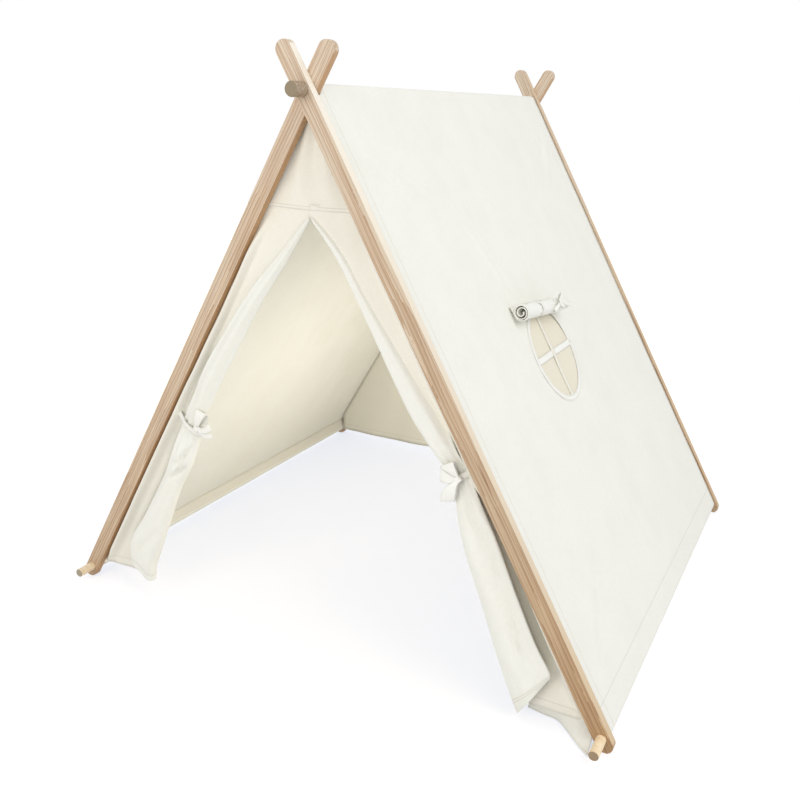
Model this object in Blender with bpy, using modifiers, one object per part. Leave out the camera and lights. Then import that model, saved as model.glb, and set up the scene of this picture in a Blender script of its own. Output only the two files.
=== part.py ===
# Play tent: a folding wooden A-frame with a cotton canvas cover.
# Two crossed pairs of poles turn on a ridge pole. A ground rod runs through the foot of each
# side, inside the hem of the sloping canvas wall. The front has a header and two door curtains
# tied back to the poles, the back is a closed gable, and the right wall has a round window.
# Units are metres. The origin is on the floor under the middle of the tent, the door faces -Y
# and +Z is up. "Right" and "left" are as seen by someone facing the door.
import math

import bmesh
import bpy
from mathutils import Matrix, Vector

# The frame.
RIDGE_RISE = 1.150            # axis of a ground rod up to the ridge axis
HALF_SPREAD = 0.658           # middle of the tent out to the axis of a ground rod
FRAME_DEPTH = 1.228           # front face of the front right pole to that of the back right pole
GROUND_ROD_HEIGHT = 0.028     # floor up to the axis of a ground rod
POLE_WIDTH = 0.034
POLE_THICK = 0.018
POLE_EDGE_ROUND = 0.0022
POLE_HORN = 0.079             # ridge axis up the pole to the centre of its round end
FOOT_FLAT_DEPTH = 0.001       # how deep the round foot is worn flat where it stands
ROD_DIA = 0.020
ROD_END_ROUND = 0.0010
KNOB_DIA = 0.028
KNOB_LENGTH = 0.035
KNOB_CAP = 0.010              # closed end of the knob's bore
KNOB_ROUND = 0.0020
RIDGE_BACK_OUT = 0.010        # ridge pole past the back face of the back left pole
RIGHT_ROD_FRONT_OUT = 0.054   # ground rods past the faces of their own poles
RIGHT_ROD_BACK_OUT = 0.012
LEFT_ROD_FRONT_OUT = 0.044
LEFT_ROD_BACK_OUT = 0.022
FIT_GAP = 0.0003              # clearance between pieces that touch or slide

# The canvas cover.
CANVAS = 0.0016               # thickness of the canvas
CANVAS_TO_POLE = 0.003        # edge of a wall to the pole beside it
HEM_DEPTH = 0.055             # height of the tunnel that holds a ground rod
HEM_STITCH = 0.006            # width of the sewn strip above the tunnel
RIDGE_NOTCH = 0.045           # wall corner cut away where the poles cross
GABLE_TO_POLE = 0.004         # gable cloth behind the back face of the front left pole
GABLE_TO_EDGE = 0.003         # back gable inside the back edge of the right wall
SEAM_HEIGHT = 0.966           # seam between the header and the door curtains
HEADER_FOLD = 0.0035          # depth of the gathers under the crossing
HEADER_GATHERS = 3.5          # gathers across the header
GABLE_HEM_HEIGHT = 0.028      # lower edge of the back gable above the floor
GABLE_FOLD = 0.010            # depth of the folds in the back gable
GABLE_FOLDS = 3.0             # folds across the back gable
GABLE_FOLD_AT = 0.37          # where one of them lies, from the left edge to the right
PANEL_FOLD = 0.004            # depth of the folds in the door curtains' fixed strips
PANEL_SWAYS = 9.0             # how fast the slack fold sways down a fixed strip, in radians

# The tied-back part of each curtain, from the top of the door down: the edge beside the pole,
# the edge beside the doorway and the thickness of the bundle in metres. Each edge is a share of
# the way from the middle of the door out to the wall, and of the way up to the header's seam.
LEFT_CURTAIN = [
    ((-0.2036, 0.9648), (-0.1188, 0.9586), 0.010),
    ((-0.4847, 0.8820), (-0.3435, 0.8716), 0.014),
    ((-0.6583, 0.8033), (-0.4941, 0.7826), 0.018),
    ((-0.7846, 0.6408), (-0.6444, 0.6170), 0.022),
    ((-0.8308, 0.5435), (-0.6900, 0.5166), 0.022),
    ((-0.8482, 0.4938), (-0.7181, 0.4669), 0.020),
    ((-0.8409, 0.4141), (-0.7100, 0.3841), 0.024),
    ((-0.8445, 0.3427), (-0.7263, 0.3137), 0.026),
    ((-0.8737, 0.2257), (-0.7068, 0.1781), 0.028),
    ((-0.8877, 0.1418), (-0.7157, 0.0901), 0.030),
    ((-0.8604, 0.0435), (-0.7119, 0.0228), 0.030),
]
RIGHT_CURTAIN = [
    ((0.0033, 0.9648), (-0.0771, 0.9586), 0.010),
    ((0.3952, 0.8923), (0.2489, 0.8768), 0.014),
    ((0.5824, 0.8023), (0.4220, 0.7816), 0.018),
    ((0.7796, 0.6439), (0.5940, 0.6128), 0.024),
    ((0.8280, 0.5673), (0.6772, 0.5404), 0.022),
    ((0.8501, 0.5104), (0.7506, 0.4907), 0.018),
    ((0.8359, 0.4265), (0.6998, 0.3975), 0.024),
    ((0.8485, 0.3789), (0.6837, 0.3406), 0.026),
    ((0.8371, 0.2785), (0.6824, 0.2381), 0.028),
    ((0.8497, 0.1863), (0.6754, 0.1366), 0.030),
    ((0.8459, 0.1025), (0.6953, 0.0507), 0.030),
    ((0.7848, 0.0311), (0.7123, 0.0083), 0.024),
]
FLAP_SQUARENESS = 0.75        # below 1 the bundle's section is fuller than an ellipse
FLAP_FOLDS = 2.5              # folds across a bundle
FLAP_FOLD_DEPTH = 0.22        # depth of those folds, as a share of the bundle's thickness
FLAP_FOLD_TURN = 0.6          # how far the folds wander from one station to the next, in radians
FLAP_RINGS = 34
FLAP_SIDES = 22
PANEL_UNDER_FLAP = 0.015      # how far the fixed strip reaches behind the bundle
LEFT_PANEL_HEM = (0.046, 0.036)   # height of the hem by the pole and by the doorway
RIGHT_PANEL_HEM = (0.030, 0.032)
TIE_WIDTH = 0.014
TIE_THICK = 0.0015
LEFT_TIE_AT = 5.0             # station of the bundle that the tie goes round
RIGHT_TIE_AT = 5.0
BOW_LOOP = 0.030              # length of one loop of a curtain's bow
BOW_WIDTH = 0.022
BOW_KNOT = 0.013
BOW_TAIL = 0.045
BOW_TAIL_ANGLES = (160, 200)  # degrees from the way up the curtain
BOW_SLIP = 0.74               # how far across the curtain the bow is tied
BOW_OPEN = 0.42               # height of a loop as a share of its length
BOW_SWEEP = 300               # degrees of a loop's oval that show beside the knot
BOW_STEPS = 14
BOW_HOLE = (0.72, 0.62)       # length and height of a loop's hole as shares of the loop
KNOT_BLOCK = (1.15, 1.05, 0.96)  # the knot's block over its length, the strap and a loop's height
KNOT_ROUND = 0.2              # rounding of the knot as a share of a loop's height
TAIL_SECTION = (0.62, 0.22)   # width over the strap's, thickness over a loop's height
TAIL_LIFTS = (0.30, 0.56)     # heights of the two tails over a loop's height

# The window in the right wall, in the wall's own directions: along the depth from the front
# face of the front right pole, and down the slope from the ridge axis.
WINDOW_DEPTH_AT = 0.5645
WINDOW_DOWN_AT = 0.6605
WINDOW_RADIUS = 0.110
BINDING_WIDTH = 0.014
BINDING_THICK = 0.0019
TAPE_THICK = 0.0015
RAIL_TAPE_WIDTH = 0.018
UPRIGHT_TAPE_WIDTH = 0.012
UPRIGHT_TAPE_SHIFT = -0.010   # from the middle of the window, towards the door
ROLL_LENGTH = 0.275
ROLL_DEPTH_SHIFT = -0.012     # middle of the roll from the middle of the window
ROLL_ABOVE_CENTRE = 0.106     # axis of the roll up the slope from the window's centre
ROLL_TILT = math.radians(6.0)  # the roll hangs a little lower at its back end
ROLL_RADIUS = 0.0165          # centre of the roll's outer turn
ROLL_CORE_RADIUS = 0.0045
ROLL_TURNS = 2.5
ROLL_CLOTH = 0.0022           # two layers sewn together
ROLL_SEAM_ABOVE = 0.028       # seam that the window flap hangs from, above the roll's axis
ROLL_DROP = (0.70, 0.35)      # where the flap leaves the binding and meets the roll, of that height
ROLL_STEPS = 18               # steps of one turn of the roll
WINDOW_TIE_WIDTH = 0.010
WINDOW_TIE_AT = (-0.038, 0.047)   # places of the two ties from the middle of the roll
WINDOW_TIE_REACH = (205.0, -58.0)  # the band's two ends round the roll, in degrees
WINDOW_BOW_LOOP = 0.026
WINDOW_BOW_WIDTH = 0.010
WINDOW_BOW_KNOT = 0.010
WINDOW_BOW_TAIL = 0.095
WINDOW_TAIL_ANGLES = (12, -6)  # degrees from the way back along the roll

ROUND_STEPS = 32              # sides of every round piece
EDGE_STEPS = 2                # steps of a rounded edge
EDGE_ANGLE = math.radians(40.0)
MERGE = 0.00001

# Worked out from the sizes above.
RIDGE_HEIGHT = GROUND_ROD_HEIGHT + RIDGE_RISE
SLOPE_LENGTH = math.hypot(HALF_SPREAD, RIDGE_RISE)
LEAN = math.atan2(HALF_SPREAD, RIDGE_RISE)
LAYER = POLE_THICK + FIT_GAP
TENT_DEPTH = RIGHT_ROD_FRONT_OUT + FRAME_DEPTH + LAYER + POLE_THICK + LEFT_ROD_BACK_OUT
FRONT_Y = RIGHT_ROD_FRONT_OUT - TENT_DEPTH / 2      # front face of the front right pole
ROD_RADIUS = ROD_DIA / 2
TUNNEL_RADIUS = ROD_RADIUS + FIT_GAP
CLOTH_OUT = TUNNEL_RADIUS + CANVAS                  # outer face of the walls from the frame's plane
WALL_FRONT_LOW = FRONT_Y + POLE_THICK + CANVAS_TO_POLE
WALL_FRONT_HIGH = WALL_FRONT_LOW + LAYER
WALL_BACK_HIGH = FRONT_Y + FRAME_DEPTH - CANVAS_TO_POLE
WALL_BACK_LOW = WALL_BACK_HIGH + LAYER
GABLE_Y = FRONT_Y + LAYER + POLE_THICK + GABLE_TO_POLE + CANVAS / 2
BACK_GABLE_Y = WALL_BACK_HIGH - GABLE_TO_EDGE - CANVAS / 2
GABLE_TOP = RIDGE_HEIGHT - CLOTH_OUT - 2 * FIT_GAP
RIGHT = 1
LEFT = -1


def clear_scene():
    """Remove what the scene holds before the model is made."""
    for obj in list(bpy.data.objects):
        bpy.data.objects.remove(obj, do_unlink=True)


def new_collection(name):
    """A collection linked to the scene."""
    collection = bpy.data.collections.new(name)
    bpy.context.scene.collection.children.link(collection)
    return collection


def plain_material(name, color, roughness):
    """A material with the piece's colour and roughness."""
    material = bpy.data.materials.new(name)
    material.use_nodes = True
    shader = material.node_tree.nodes["Principled BSDF"]
    shader.inputs["Base Color"].default_value = (*color, 1.0)
    shader.inputs["Roughness"].default_value = roughness
    shader.inputs["Metallic"].default_value = 0.0
    return material


clear_scene()
PARTS = new_collection("play_tent")
CUTTERS = new_collection("play_tent_cutters")
POLE_WOOD = (0.60, 0.46, 0.31)
ROD_WOOD = (0.85, 0.68, 0.42)
COTTON = (0.87, 0.86, 0.79)
LINING = (0.83, 0.79, 0.66)


def keep(obj, name, color, roughness):
    """Name a finished piece, give it its own material and put it with the parts."""
    obj.name = name
    obj.data.name = name
    obj.data.materials.clear()
    obj.data.materials.append(plain_material(name, color, roughness))
    for collection in list(obj.users_collection):
        collection.objects.unlink(obj)
    PARTS.objects.link(obj)
    obj.data.shade_smooth()
    obj.data.set_sharp_from_angle(angle=EDGE_ANGLE)
    return obj


def keep_cutter(obj, name):
    """Put a guide that only cuts other pieces out of sight."""
    obj.name = name
    obj.hide_render = True
    obj.display_type = "WIRE"
    for collection in list(obj.users_collection):
        collection.objects.unlink(obj)
    CUTTERS.objects.link(obj)
    return obj


def cut(obj, cutter):
    """Take the cutter's shape out of the piece."""
    boolean = obj.modifiers.new("cut " + cutter.name, "BOOLEAN")
    boolean.operation = "DIFFERENCE"
    boolean.solver = "EXACT"
    boolean.object = cutter


def join_with(obj, other):
    """Add the other shape to the piece as one body."""
    boolean = obj.modifiers.new("join " + other.name, "BOOLEAN")
    boolean.operation = "UNION"
    boolean.solver = "EXACT"
    boolean.object = other


def round_edges(obj, width):
    """Round the sharp edges of a piece."""
    bevel = obj.modifiers.new("round edges", "BEVEL")
    bevel.width = width
    bevel.segments = EDGE_STEPS
    bevel.limit_method = "ANGLE"
    bevel.angle_limit = EDGE_ANGLE


def arc(center, radius, start, end, steps):
    """Points along an arc, angles in degrees."""
    points = []
    for i in range(steps + 1):
        angle = math.radians(start + (end - start) * i / steps)
        points.append((center[0] + radius * math.cos(angle), center[1] + radius * math.sin(angle)))
    return points


def flat_piece(loops, thickness):
    """A flat piece from closed outlines, the first outside and the others holes, as a mesh."""
    curve = bpy.data.curves.new("outline", "CURVE")
    curve.dimensions = "2D"
    curve.fill_mode = "BOTH"
    curve.extrude = thickness / 2
    for loop in loops:
        spline = curve.splines.new("POLY")
        spline.points.add(len(loop) - 1)
        for point, (x, y) in zip(spline.points, loop):
            point.co = (x, y, 0.0, 1.0)
        spline.use_cyclic_u = True
    guide = bpy.data.objects.new("outline", curve)
    PARTS.objects.link(guide)
    bpy.context.view_layer.update()
    evaluated = guide.evaluated_get(bpy.context.evaluated_depsgraph_get())
    mesh = bpy.data.meshes.new_from_object(evaluated)
    bpy.data.objects.remove(guide, do_unlink=True)
    shape = bmesh.new()
    shape.from_mesh(mesh)
    bmesh.ops.remove_doubles(shape, verts=shape.verts[:], dist=MERGE)
    bmesh.ops.recalc_face_normals(shape, faces=shape.faces[:])
    shape.to_mesh(mesh)
    shape.free()
    obj = bpy.data.objects.new("flat piece", mesh)
    PARTS.objects.link(obj)
    return obj


def rod_between(start_y, end_y, x, z, radius):
    """A round bar along the depth of the tent, its origin at its middle on its axis."""
    bpy.ops.mesh.primitive_cylinder_add(
        vertices=ROUND_STEPS, radius=radius, depth=end_y - start_y,
        location=(x, (start_y + end_y) / 2, z), rotation=(math.radians(90), 0, 0))
    return bpy.context.object


def slope_axes(side):
    """The wall's own directions on one side: down the slope, and square out of the wall."""
    down = Vector((side * math.sin(LEAN), 0, -math.cos(LEAN)))
    out = Vector((side * math.cos(LEAN), 0, math.sin(LEAN)))
    return down, out


def ridge_point(y):
    """A point on the ridge axis."""
    return Vector((0, y, RIDGE_HEIGHT))


def lie_on_slope(obj, side, out, depth=0.0, down=0.0):
    """Place a flat piece drawn as (depth, down the slope) at a height out of the frame's plane."""
    slope, normal = slope_axes(side)
    depth_axis = Vector((0, 1, 0))
    turn = Matrix((depth_axis, slope, depth_axis.cross(slope))).transposed()
    obj.matrix_world = Matrix.Translation(
        ridge_point(depth) + slope * down + normal * out) @ turn.to_4x4()


def run_along_depth(obj, side, middle_y, down=0.0, out=0.0):
    """Place a piece drawn as a section (down the slope, inwards) and as long as it is deep."""
    slope, normal = slope_axes(side)
    depth_axis = Vector((0, 1, 0))
    turn = Matrix((slope, depth_axis.cross(slope), depth_axis)).transposed()
    obj.matrix_world = Matrix.Translation(
        ridge_point(middle_y) + slope * down + normal * out) @ turn.to_4x4()


def section(points, side):
    """A section drawn as (down the slope, out) in the directions that run_along_depth uses."""
    return [(down, -side * out) for down, out in points]


# The four poles and the bores that the rods pass through.

def hole_guide(name, x, z):
    """A round bore through the poles from front to back."""
    reach = TENT_DEPTH
    return keep_cutter(rod_between(-reach, reach, x, z, TUNNEL_RADIUS), name)


RIDGE_BORE = hole_guide("ridge_bore", 0.0, RIDGE_HEIGHT)
GROUND_BORES = {
    RIGHT: hole_guide("right_ground_bore", HALF_SPREAD, GROUND_ROD_HEIGHT),
    LEFT: hole_guide("left_ground_bore", -HALF_SPREAD, GROUND_ROD_HEIGHT),
}
bpy.ops.mesh.primitive_cube_add(size=1.0)
FLOOR_CUT = bpy.context.object
FLOOR_CUT.scale = (4 * HALF_SPREAD, 2 * TENT_DEPTH, POLE_WIDTH)
FLOOR_CUT.location = (0, 0, -POLE_WIDTH / 2)
keep_cutter(FLOOR_CUT, "floor_cut")


def make_pole(name, side, front_face):
    """One flat pole with round ends, from its foot up past the ridge. It turns on the ridge."""
    radius = POLE_WIDTH / 2
    foot_drop = (GROUND_ROD_HEIGHT - radius + FOOT_FLAT_DEPTH) / math.cos(LEAN)
    top = arc((0, POLE_HORN), radius, 0, 180, ROUND_STEPS // 2)
    foot = arc((0, -SLOPE_LENGTH - foot_drop), radius, 180, 360, ROUND_STEPS // 2)
    pole = flat_piece([top + foot], POLE_THICK)
    pole.location = ridge_point(front_face + POLE_THICK / 2)
    pole.rotation_euler = (math.radians(90), -side * LEAN, 0)
    round_edges(pole, POLE_EDGE_ROUND)
    cut(pole, RIDGE_BORE)
    cut(pole, GROUND_BORES[side])
    cut(pole, FLOOR_CUT)
    return keep(pole, name, POLE_WOOD, 0.55)


make_pole("front_right_pole", RIGHT, FRONT_Y)
make_pole("front_left_pole", LEFT, FRONT_Y + LAYER)
make_pole("back_right_pole", RIGHT, FRONT_Y + FRAME_DEPTH)
make_pole("back_left_pole", LEFT, FRONT_Y + FRAME_DEPTH + LAYER)


# The ridge pole with its knob, and the two ground rods. Each is drawn out forwards.

def make_rod(name, start_y, end_y, x, z, color):
    """A round rod with its two rims eased."""
    rod = rod_between(start_y, end_y, x, z, ROD_RADIUS)
    round_edges(rod, ROD_END_ROUND)
    return keep(rod, name, color, 0.5)


KNOB_BACK = FRONT_Y - FIT_GAP
KNOB_FRONT = KNOB_BACK - KNOB_LENGTH
RIDGE_BACK = FRONT_Y + FRAME_DEPTH + LAYER + POLE_THICK + RIDGE_BACK_OUT
make_rod("ridge_pole", KNOB_FRONT + KNOB_CAP + FIT_GAP, RIDGE_BACK, 0.0, RIDGE_HEIGHT, POLE_WOOD)
make_rod("right_bottom_rod", FRONT_Y - RIGHT_ROD_FRONT_OUT,
         FRONT_Y + FRAME_DEPTH + POLE_THICK + RIGHT_ROD_BACK_OUT,
         HALF_SPREAD, GROUND_ROD_HEIGHT, ROD_WOOD)
make_rod("left_bottom_rod", FRONT_Y + LAYER - LEFT_ROD_FRONT_OUT,
         FRONT_Y + FRAME_DEPTH + LAYER + POLE_THICK + LEFT_ROD_BACK_OUT,
         -HALF_SPREAD, GROUND_ROD_HEIGHT, ROD_WOOD)

KNOB = rod_between(KNOB_FRONT, KNOB_BACK, 0.0, RIDGE_HEIGHT, KNOB_DIA / 2)
round_edges(KNOB, KNOB_ROUND)
KNOB_BORE = rod_between(KNOB_FRONT + KNOB_CAP, KNOB_BACK + KNOB_LENGTH, 0.0, RIDGE_HEIGHT,
                        TUNNEL_RADIUS)
cut(KNOB, keep_cutter(KNOB_BORE, "knob_bore"))
keep(KNOB, "ridge_pole_knob", POLE_WOOD, 0.6)


# The sloping walls, the sleeve over the ridge pole and the tunnels for the ground rods.

WALL_TOP = math.sqrt(CLOTH_OUT ** 2 - (TUNNEL_RADIUS - FIT_GAP) ** 2) + FIT_GAP
WALL_BOTTOM = SLOPE_LENGTH - FIT_GAP
HEM_TOP = SLOPE_LENGTH - HEM_DEPTH - FIT_GAP


def make_wall(name, side, window=None):
    """A flat wall whose corner is cut away where the other side's pole swings past the ridge."""
    if side == RIGHT:
        edge = [(WALL_FRONT_HIGH, WALL_TOP), (WALL_BACK_HIGH, WALL_TOP),
                (WALL_BACK_HIGH, WALL_BOTTOM), (WALL_FRONT_LOW, WALL_BOTTOM),
                (WALL_FRONT_LOW, RIDGE_NOTCH + LAYER), (WALL_FRONT_HIGH, RIDGE_NOTCH)]
    else:
        edge = [(WALL_FRONT_HIGH, WALL_TOP), (WALL_BACK_HIGH, WALL_TOP),
                (WALL_BACK_HIGH, RIDGE_NOTCH), (WALL_BACK_LOW, RIDGE_NOTCH + LAYER),
                (WALL_BACK_LOW, WALL_BOTTOM), (WALL_FRONT_HIGH, WALL_BOTTOM)]
    loops = [edge]
    if window:
        loops.append(window)
    wall = flat_piece(loops, CANVAS)
    lie_on_slope(wall, side, CLOTH_OUT - CANVAS / 2)
    return keep(wall, name, COTTON, 0.9)


def tunnel_outline(side):
    """A hem tunnel's cloth: from the wall's foot round under the rod and up inside to its seam."""
    stitch = HEM_DEPTH - HEM_STITCH
    apex_angle = math.degrees(math.atan2(TUNNEL_RADIUS, -stitch))
    turn_end = 2 * apex_angle - 90 - 360
    seam_face = TUNNEL_RADIUS - FIT_GAP
    outside = arc((0, 0), CLOTH_OUT, 90, turn_end, ROUND_STEPS)
    outside += [(-stitch, seam_face - CANVAS), (-HEM_DEPTH, seam_face - CANVAS)]
    inside = [(-HEM_DEPTH, seam_face), (-stitch, seam_face)]
    inside += arc((0, 0), TUNNEL_RADIUS, turn_end, 90, ROUND_STEPS)
    return section(outside + inside, side)


def make_hem(name, side, start_y, end_y):
    """The tunnel along the foot of a wall, which the wall closes on its outer side."""
    hem = flat_piece([tunnel_outline(side)], end_y - start_y)
    run_along_depth(hem, side, (start_y + end_y) / 2, down=SLOPE_LENGTH)
    return keep(hem, name, COTTON, 0.9)


WINDOW_Y = FRONT_Y + WINDOW_DEPTH_AT
OPENING_RADIUS = WINDOW_RADIUS + BINDING_WIDTH / 2
window_edge = arc((WINDOW_Y, WINDOW_DOWN_AT), OPENING_RADIUS, 0, 360, 2 * ROUND_STEPS)[:-1]
make_wall("right_wall_panel", RIGHT, window_edge)
make_wall("left_wall_panel", LEFT)
make_hem("right_hem_sleeve", RIGHT, WALL_FRONT_LOW, WALL_BACK_HIGH)
make_hem("left_hem_sleeve", LEFT, WALL_FRONT_HIGH, WALL_BACK_LOW)

ridge_rings = [arc((0, 0), radius, 0, 360, ROUND_STEPS)[:-1]
               for radius in (CLOTH_OUT, TUNNEL_RADIUS)]
ridge_sleeve = flat_piece(ridge_rings, WALL_BACK_HIGH - WALL_FRONT_HIGH)
run_along_depth(ridge_sleeve, RIGHT, (WALL_FRONT_HIGH + WALL_BACK_HIGH) / 2)
keep(ridge_sleeve, "ridge_sleeve", COTTON, 0.9)


# The upright cloth at both ends: header, back gable and the fixed strips beside the door.

def gable_edge(z):
    """How far out the gable cloth reaches at a height, just inside a wall or its hem."""
    down, out = slope_axes(RIGHT)
    sewn = TUNNEL_RADIUS - FIT_GAP
    hem_top = ridge_point(0) + down * (HEM_TOP - 2 * FIT_GAP) + out * sewn
    if z >= hem_top.z:
        return (sewn + (RIDGE_HEIGHT - z) * math.sin(LEAN)) / math.cos(LEAN)
    high = hem_top - out * (2 * CANVAS)
    low = ridge_point(0) + down * SLOPE_LENGTH - out * (CLOTH_OUT + CANVAS)
    share = (high.z - z) / (high.z - low.z)
    return high.x + (low.x - high.x) * share


def hanging_cloth(name, y, rows, columns, top, bottom, left, right, fold, color):
    """A hung sheet: left and right give its edges at a height, bottom its hem's two heights, and
    fold the depth of its surface behind the plane y."""
    shape = bmesh.new()
    bmesh.ops.create_grid(shape, x_segments=columns, y_segments=rows, size=0.5)
    for vert in shape.verts:
        across = vert.co.x + 0.5
        fall = 0.5 - vert.co.y
        low = bottom[0] + (bottom[1] - bottom[0]) * across
        z = top + (low - top) * fall
        x = left(z) + (right(z) - left(z)) * across
        vert.co = (x, y + fold(across, fall), z)
    mesh = bpy.data.meshes.new(name)
    shape.to_mesh(mesh)
    shape.free()
    cloth = bpy.data.objects.new(name, mesh)
    PARTS.objects.link(cloth)
    wall = cloth.modifiers.new("cloth", "SOLIDIFY")
    wall.thickness = CANVAS
    wall.offset = 0.0
    wall.use_even_offset = False
    return keep(cloth, name, color, 0.9)


def header_fold(across, fall):
    """Upright gathers that fan out from the crossing and fade at the seams."""
    fade = math.sin(math.pi * across) * math.sin(math.pi * fall)
    return HEADER_FOLD * fade * (1.0 + math.cos(2 * math.pi * HEADER_GATHERS * (across - 0.5)))


def gable_fold(across, fall):
    """Three soft folds that deepen towards the hem and lie still at the side seams."""
    fade = math.sin(math.pi * across) * fall ** 1.5
    wave = math.cos(2 * math.pi * GABLE_FOLDS * (across - GABLE_FOLD_AT) + fall)
    return -GABLE_FOLD * fade * (1.0 + wave) / 2


def panel_fold(across, fall):
    """One long slack fold down a fixed strip."""
    fade = math.sin(math.pi * fall) * math.sin(math.pi * across)
    return PANEL_FOLD * fade * (1.0 + math.sin(PANEL_SWAYS * fall)) / 2


hanging_cloth("front_header_panel", GABLE_Y, 8, 14, GABLE_TOP, (SEAM_HEIGHT + FIT_GAP,) * 2,
              lambda z: -gable_edge(z), gable_edge, header_fold, COTTON)
hanging_cloth("back_gable_panel", BACK_GABLE_Y, 18, 16, GABLE_TOP, (GABLE_HEM_HEIGHT,) * 2,
              lambda z: -gable_edge(z), gable_edge, gable_fold, COTTON)


def hung_stations(curtain):
    """A curtain's stations in metres in the plane of the door."""
    hung = []
    for outer, inner, thick in curtain:
        edges = []
        for out_share, up_share in (outer, inner):
            z = up_share * SEAM_HEIGHT
            edges.append((out_share * gable_edge(z), z))
        hung.append((*edges, thick))
    return hung


LEFT_FLAP = hung_stations(LEFT_CURTAIN)
RIGHT_FLAP = hung_stations(RIGHT_CURTAIN)


def edge_at(points, z):
    """The place of a hand-drawn edge at a height, straight between its points."""
    for (x0, z0), (x1, z1) in zip(points, points[1:]):
        if z >= z1:
            return x0 + (x1 - x0) * (z0 - z) / (z0 - z1)
    return points[-1][0]


def inner_edge(stations, side):
    """The fixed strip's edge behind the bundle, from the seam down to the hem."""
    top_x = stations[0][1][0]
    points = [(top_x, SEAM_HEIGHT)]
    for outer, _, _ in stations[:-1]:
        points.append((outer[0] - side * PANEL_UNDER_FLAP, outer[1]))
    points.append((points[-1][0], 0.0))
    return points


PANEL_TOP = SEAM_HEIGHT - FIT_GAP
left_inner = inner_edge(LEFT_FLAP, LEFT)
right_inner = inner_edge(RIGHT_FLAP, RIGHT)
hanging_cloth("left_door_panel", GABLE_Y, 26, 4, PANEL_TOP, LEFT_PANEL_HEM,
              lambda z: -gable_edge(z), lambda z: edge_at(left_inner, z), panel_fold, COTTON)
hanging_cloth("right_door_panel", GABLE_Y, 26, 4, PANEL_TOP, RIGHT_PANEL_HEM[::-1],
              lambda z: edge_at(right_inner, z), gable_edge, panel_fold, COTTON)


# The tied-back curtains: folded bundles that hang in front of the strips, with tie and bow.

FLAP_BACK_Y = GABLE_Y - CANVAS / 2 - FIT_GAP


def station(stations, at):
    """The bundle's two edges and thickness at a place between its stations, smoothly joined."""
    index = min(max(int(at), 0), len(stations) - 2)
    share = at - index
    values = []
    for step in (-1, 0, 1, 2):
        outer, inner, thick = stations[min(max(index + step, 0), len(stations) - 1)]
        values.append((*outer, *inner, thick))
    result = []
    for before, here, there, after in zip(*values):
        bend = 2 * here + (there - before) * share
        bend += (2 * before - 5 * here + 4 * there - after) * share ** 2
        bend += (3 * here - before - 3 * there + after) * share ** 3
        result.append(bend / 2)
    return Vector(result[0:2]), Vector(result[2:4]), result[4]


def power(value, exponent):
    """A power that keeps the sign of its value."""
    return math.copysign(abs(value) ** exponent, value)


def flap_ring(stations, at, grow=0.0):
    """One closed section of the bundle, grown outwards by a margin."""
    outer, inner, thick = station(stations, at)
    middle = (outer + inner) / 2
    across = (inner - outer).normalized()
    half_width = (inner - outer).length / 2
    ring = []
    for i in range(FLAP_SIDES):
        angle = 2 * math.pi * i / FLAP_SIDES
        along = (half_width + grow) * power(math.cos(angle), FLAP_SQUARENESS)
        rise = power(math.sin(angle), FLAP_SQUARENESS)
        fold = math.cos(math.pi * FLAP_FOLDS * along / half_width + FLAP_FOLD_TURN * at)
        front = thick / 2 * rise * (1 + FLAP_FOLD_DEPTH * fold * max(rise, 0.0))
        front += grow * rise
        y = FLAP_BACK_Y - thick / 2 * (1 + FLAP_FOLD_DEPTH) - front
        ring.append(Vector((middle.x + across.x * along, y, middle.y + across.y * along)))
    return ring


def loft(rings, name, closed_ends):
    """A surface through sections with the same number of points, with or without end faces."""
    shape = bmesh.new()
    loops = [[shape.verts.new(point) for point in ring] for ring in rings]
    for low, high in zip(loops, loops[1:]):
        count = len(low)
        for i in range(count):
            shape.faces.new((low[i], low[(i + 1) % count], high[(i + 1) % count], high[i]))
    if closed_ends:
        shape.faces.new(loops[0])
        shape.faces.new(reversed(loops[-1]))
    bmesh.ops.recalc_face_normals(shape, faces=shape.faces[:])
    mesh = bpy.data.meshes.new(name)
    shape.to_mesh(mesh)
    shape.free()
    obj = bpy.data.objects.new(name, mesh)
    PARTS.objects.link(obj)
    return obj


def tie_rings(stations, at):
    """The places of a tie's upper edge, middle and lower edge along the bundle."""
    outer_a, inner_a, _ = station(stations, at - 0.5)
    outer_b, inner_b, _ = station(stations, at + 0.5)
    per_metre = 1 / ((outer_a + inner_a) / 2 - (outer_b + inner_b) / 2).length
    half = TIE_WIDTH / 2 * per_metre
    return [at - half, at, at + half]


def make_curtain(side_name, stations, tie_at):
    """A folded bundle in two pieces that meet under the tie: the gather that runs down from the
    top of the door, and the skirt that hangs from the tie and swings on its middle."""
    last = len(stations) - 1
    above, _, below = tie_rings(stations, tie_at)
    half = below - tie_at
    split = half * FIT_GAP / TIE_WIDTH
    even = [last * i / FLAP_RINGS for i in range(FLAP_RINGS + 1)]
    gather = [at for at in even if at < tie_at - 1.5 * half] + [above, tie_at - split]
    skirt = [tie_at + split, below] + [at for at in even if at > tie_at + 1.5 * half]
    name = side_name + "_curtain_gather"
    keep(loft([flap_ring(stations, at) for at in gather], name, True), name, COTTON, 0.9)
    rings = [flap_ring(stations, at) for at in skirt]
    pivot = sum(rings[0], Vector()) / len(rings[0])
    name = side_name + "_curtain_skirt"
    hung = loft([[point - pivot for point in ring] for ring in rings], name, True)
    hung.location = pivot
    keep(hung, name, COTTON, 0.9)


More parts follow.
